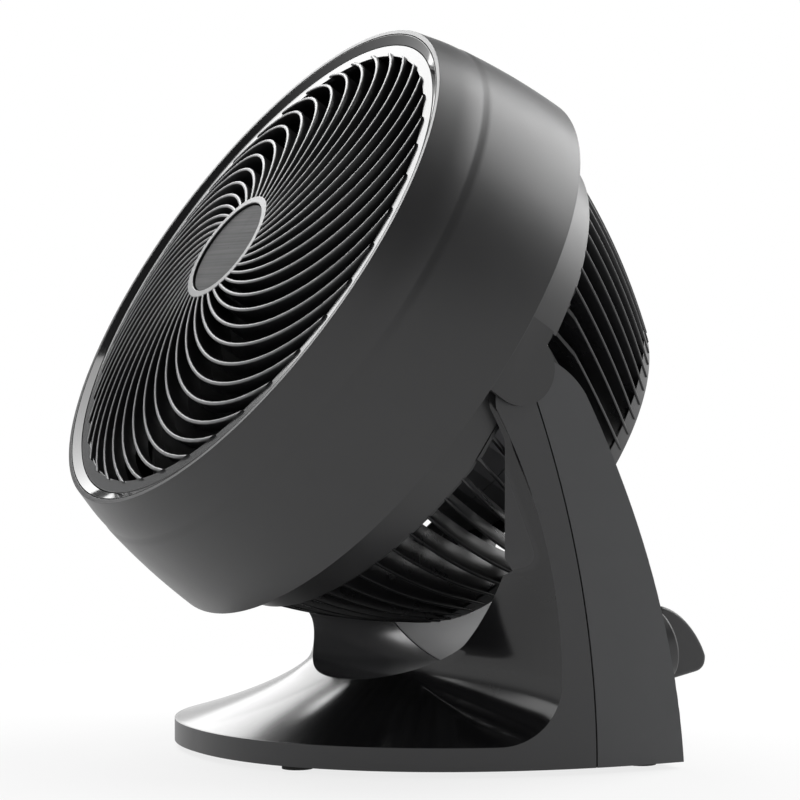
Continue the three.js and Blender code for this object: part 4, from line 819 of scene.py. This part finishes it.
def lip_at(crease, stage, share):
    x = LIP_RIM_X * crease.x / crease_at("rim", 1).x
    if stage == "corner":
        x = lerp(LIP_RIM_X, LIP_CORNER_X, share)
    if stage == "arm":
        base = RIM_HEIGHT + CREASE_FILLET
        x = min(ARM_INNER_X, lerp(LIP_CORNER_X, ARM_INNER_X, (crease.z - base) / (LIP_ARM_Z - base)))
    bowed = max(0, 1 - (x / LIP_BOW_HALF) ** 2)
    y = min(LIP_ARM_Y - LIP_BOW * bowed ** 1.5, max(crease.y, -ARM_TOP_RADIUS))
    z = PIVOT_HEIGHT - math.sqrt(BOWL_RADIUS ** 2 - x * x - y * y)
    return Vector((x, y, z if x < ARM_INNER_X else max(crease.z, z)))


def sweep_cut(inset):
    """What is cut away in front of the stand. Its back face is the gloss sweep."""
    stages = [("rim", i / 40) for i in range(40)]
    stages += [("corner", i / 20) for i in range(20)]
    stages += [("arm", i / 60) for i in range(61)]
    far = -4 * TOE_LENGTH
    right = []
    for stage, share in stages:
        crease = crease_at(stage, share)
        lip = lip_at(crease, stage, share)
        across = lip - crease
        lean = min(1, max(0, lip.x / ARM_INNER_X))
        middle = (crease + lip) / 2 + 2 * HOLLOW * Vector((0, lean, lean - 1))
        points = [crease - OVERRUN * across.normalized()]
        points += [Vector(bend(crease, middle, lip, k / 12)) for k in range(13)]
        upright = {"rim": 0, "corner": share, "arm": 1}[stage]
        points = [p + Vector((0, inset * (1 + upright), inset * (upright - 1))) for p in points]
        points.append(Vector((0, LIP_ARM_Y, STAND_TOP + OVERRUN)))
        right.append(points + [Vector((p.x, far, p.z)) for p in reversed(points)])
    left = [[Vector((-p.x, p.y, p.z)) for p in row] for row in reversed(right[1:])]
    return lofts("sweep", [left + right], STAND)


def bowl_cut(inset):
    bm = bmesh.new()
    bmesh.ops.create_uvsphere(bm, u_segments=192, v_segments=96, radius=BOWL_RADIUS + inset)
    bmesh.ops.rotate(bm, verts=bm.verts, matrix=Matrix.Rotation(math.pi / 2, 3, "Y"))
    mesh = bpy.data.meshes.new("bowl")
    for v in bm.verts:
        v.co = STAND @ (v.co + Vector((0, 0, PIVOT_HEIGHT)))
    bm.to_mesh(mesh)
    bm.free()
    ball = bpy.data.objects.new("bowl", mesh)
    bpy.context.scene.collection.objects.link(ball)
    half = ARM_INNER_X + inset
    cut(ball, block("between", -half, half, -400, 400, -400, 400, STAND), "INTERSECT")
    return ball


def front_of_seam(shift):
    side = [(-4 * TOE_LENGTH, -FOOT_HEIGHT)]
    for k in range(49):
        z = lerp(-FOOT_HEIGHT, STAND_TOP + 4, k / 48)
        side.append((SEAM_Y - swing(SEAM_ARC, max(0, z - FOOT_HEIGHT)) + shift, z))
    side.append((-4 * TOE_LENGTH, STAND_TOP + 4))
    return lofts("seam", [[[(x, y, z) for y, z in side] for x in (-300, 300)]], STAND)


def stand_body(inset, bottom):
    body = stand_prism(inset, bottom)
    cut(body, stand_side(inset, bottom), "INTERSECT")
    cut(body, sweep_cut(inset), "DIFFERENCE")
    cut(body, bowl_cut(inset), "DIFFERENCE")
    return body


def stand():
    body = stand_body(0, FOOT_HEIGHT)
    hollow = stand_body(STAND_WALL, -FOOT_HEIGHT)
    cut(hollow, block("low", -300, 300, -400, 400, -10, CAVITY_TOP, STAND), "INTERSECT")
    cut(body, hollow, "DIFFERENCE")
    rear = body.copy()
    rear.data = body.data.copy()
    bpy.context.scene.collection.objects.link(rear)
    cut(body, front_of_seam(-SEAM_GAP / 2), "INTERSECT")
    cut(rear, front_of_seam(SEAM_GAP / 2), "DIFFERENCE")
    body.name, rear.name = "front_shell_fine", "rear_cover_fine"
    for piece, node, material, slot in ((body, "base_front_shell", FRONT, "gloss_black"),
                                        (rear, "base_rear_cover", COVER, "grey_moulding")):
        finish_edges(piece, 0.45, 28)
        dress(piece, "base", material, slot, node)


# ------------------------------------------------------------------ knob

KNOB_LIFT, KNOB_RADIUS, KNOB_SKIRT, KNOB_DEPTH = 1.5, 18.4, 6.5, 29
KNOB_SHOULDER, KNOB_TIP, KNOB_THICKNESS, KNOB_BORE = 10, 11.5, 13, 3.4


def knob():
    axis = Vector(KNOB_JOINT["axis"])
    turn = Matrix.Rotation(math.atan2(axis.z, axis.y), 4, "X")
    place = Matrix.Translation(KNOB_JOINT["pos_m"]) @ turn @ Matrix.Scale(MM, 4)
    seat, radius, depth = KNOB_LIFT, KNOB_RADIUS, KNOB_DEPTH
    top = seat + KNOB_SKIRT
    # turned() counts forward along -Y, so the skirt's profile is written with that sign.
    ring = turned("knob_skirt", [(KNOB_BORE, -seat), (radius, -seat), (radius, -top + 1.5),
                                 (radius - 1.5, -top), (KNOB_BORE, -top)], place, 96)
    finish_edges(ring, 0.4, 30)
    dress(ring, "knob", SATIN, "satin_black", "speed_knob")
    half = radius - 0.3
    outline = [Vector((top - 1, -half)), Vector((depth - 7, -half))]
    corner = [(depth - 7, -half), (depth - 1, -half), (depth, -KNOB_TIP)]
    outline += [Vector(bend(*corner, k / 12)) for k in range(1, 13)]
    controls = ((depth, -KNOB_TIP), (depth - 1, -2), (depth - 8, half - 5), (KNOB_SHOULDER, half))
    a, b, c, d = (Vector(p) for p in controls)
    outline += [(1 - t) ** 3 * a + 3 * t * (1 - t) ** 2 * b + 3 * t * t * (1 - t) * c + t ** 3 * d
                for t in (k / 24 for k in range(1, 25))]
    outline.append(Vector((top - 1, half)))
    grip = lofts("knob_grip", [[[(x, p.x, p.y) for p in outline]
                                for x in (-KNOB_THICKNESS / 2, KNOB_THICKNESS / 2)]], place)
    finish_edges(grip, 2.2, 35, 5)
    dress(grip, "knob", SATIN, "satin_black")


# ------------------------------------------------------------------ light, floor and camera

def lamp(name, direction, distance, size, radiance):
    """A soft box that looks at the middle of the part, from a direction in the row's frame."""
    aim = Vector((0, 0, 0.2))
    spot = aim + distance * Vector(direction).normalized()
    data = bpy.data.lights.new(name, "AREA")
    data.shape = "RECTANGLE"
    data.size, data.size_y = size
    data.energy = radiance * math.pi * size[0] * size[1]
    obj = bpy.data.objects.new(name, data)
    obj.location = spot
    obj.rotation_euler = (aim - spot).to_track_quat("-Z", "Y").to_euler()
    bpy.context.scene.collection.objects.link(obj)


CAMERA_AT = Vector((1386.45, -691.83, 205.13)) * MM + Vector((0, PIVOT.y, 0))
CAMERA_TARGET = Vector((0, 5.77, 176.62)) * MM + Vector((0, PIVOT.y, 0))


def camera():
    data = bpy.data.cameras.new("camera")
    data.lens, data.sensor_width = 136.5, 36
    obj = bpy.data.objects.new("camera", data)
    obj.location = CAMERA_AT
    obj.rotation_euler = (CAMERA_TARGET - CAMERA_AT).to_track_quat("-Z", "Y").to_euler()
    bpy.context.scene.collection.objects.link(obj)
    bpy.context.scene.camera = obj


def seen(nodes, links):
    """1 for what the camera sees straight, in gloss or through glass, and 0 for light that falls on things."""
    rays = nodes.new("ShaderNodeLightPath")
    first = math_node(nodes, links, "MAXIMUM", rays.outputs["Is Camera Ray"], rays.outputs["Is Glossy Ray"])
    return math_node(nodes, links, "MAXIMUM", first, rays.outputs["Is Transmission Ray"])


# Metres: the floor's half side, and where its white begins and is whole, from this share.
FLOOR_HALF, FLOOR_FADE, FLOOR_WHITE = 6, (0.15, 0.45), 0.8
HORIZON = (0.42, 0.16)                # height of a direction, from the dim sky to the white horizon


def floor():
    """A pale floor that turns into the white backdrop round the part, and keeps the shadow under it."""
    half = FLOOR_HALF
    mesh = bpy.data.meshes.new("floor")
    corners = [(-half, -half, 0), (half, -half, 0), (half, half, 0), (-half, half, 0)]
    mesh.from_pydata(corners, [], [(0, 1, 2, 3)])
    obj = bpy.data.objects.new("floor", mesh)
    bpy.context.scene.collection.objects.link(obj)
    material = bpy.data.materials.new("floor")
    material.use_nodes = True
    nodes, links = material.node_tree.nodes, material.node_tree.links
    shader = nodes["Principled BSDF"]
    shader.inputs["Base Color"].default_value = (0.9, 0.9, 0.9, 1)
    shader.inputs["Roughness"].default_value = 0.9
    shader.inputs["Specular IOR Level"].default_value = 0
    white = nodes.new("ShaderNodeEmission")
    place = nodes.new("ShaderNodeTexCoord")
    away = nodes.new("ShaderNodeVectorMath")
    away.operation = "LENGTH"
    links.new(place.outputs["Object"], away.inputs[0])
    fade = range_node(nodes, links, away.outputs["Value"], *FLOOR_FADE, FLOOR_WHITE)
    share = math_node(nodes, links, "MULTIPLY", fade.outputs["Result"], seen(nodes, links))
    mix = nodes.new("ShaderNodeMixShader")
    links.new(share, mix.inputs["Fac"])
    links.new(shader.outputs["BSDF"], mix.inputs[1])
    links.new(white.outputs["Emission"], mix.inputs[2])
    links.new(mix.outputs["Shader"], nodes["Material Output"].inputs["Surface"])
    mesh.materials.append(material)


def surroundings(strength):
    """A studio that is white round the horizon, for the camera and in reflections, and dim overhead."""
    world = bpy.data.worlds.new("studio")
    bpy.context.scene.world = world
    world.use_nodes = True
    nodes, links = world.node_tree.nodes, world.node_tree.links
    dim = nodes["Background"]
    dim.inputs["Color"].default_value = (strength, strength, strength, 1)
    white = nodes.new("ShaderNodeBackground")
    white.inputs["Color"].default_value = (1, 1, 1, 1)
    place = nodes.new("ShaderNodeTexCoord")
    up = nodes.new("ShaderNodeSeparateXYZ")
    links.new(place.outputs["Generated"], up.inputs["Vector"])
    low = range_node(nodes, links, up.outputs["Z"], *HORIZON)
    low.interpolation_type = "SMOOTHSTEP"
    share = math_node(nodes, links, "MULTIPLY", low.outputs["Result"], seen(nodes, links))
    mix = nodes.new("ShaderNodeMixShader")
    links.new(share, mix.inputs["Fac"])
    links.new(dim.outputs["Background"], mix.inputs[1])
    links.new(white.outputs["Background"], mix.inputs[2])
    links.new(mix.outputs["Shader"], nodes["World Output"].inputs["Surface"])


ANNULUS = plastic("annulus_grey", (0.06, 0.061, 0.063), 0.16, waves=0.02)
FRONT = plastic("front_shell_black", (0.014, 0.014, 0.015), 0.14, waves=0.015)
satin_sides(FRONT, 0.4)

shroud()
bezel()
front_grille()
rear_fins()
rear_frame()
neck_ring()
propeller()
back_cap()
stand()
knob()
camera()
floor()
surroundings(0.14)
lamp("back_top", (-0.02, 0.80, 0.60), 1.6, (1.5, 1.1), 5)
lamp("face_top", (-0.73, -0.13, 0.67), 1.5, (1.25, 1.0), 5)
lamp("low_left", (-0.93, 0.30, 0.20), 1.6, (0.9, 0.35), 2.5)
lamp("front_low", (-0.18, -0.88, 0.44), 1.6, (0.5, 0.5), 3)

bpy.context.scene.view_settings.view_transform = "Standard"
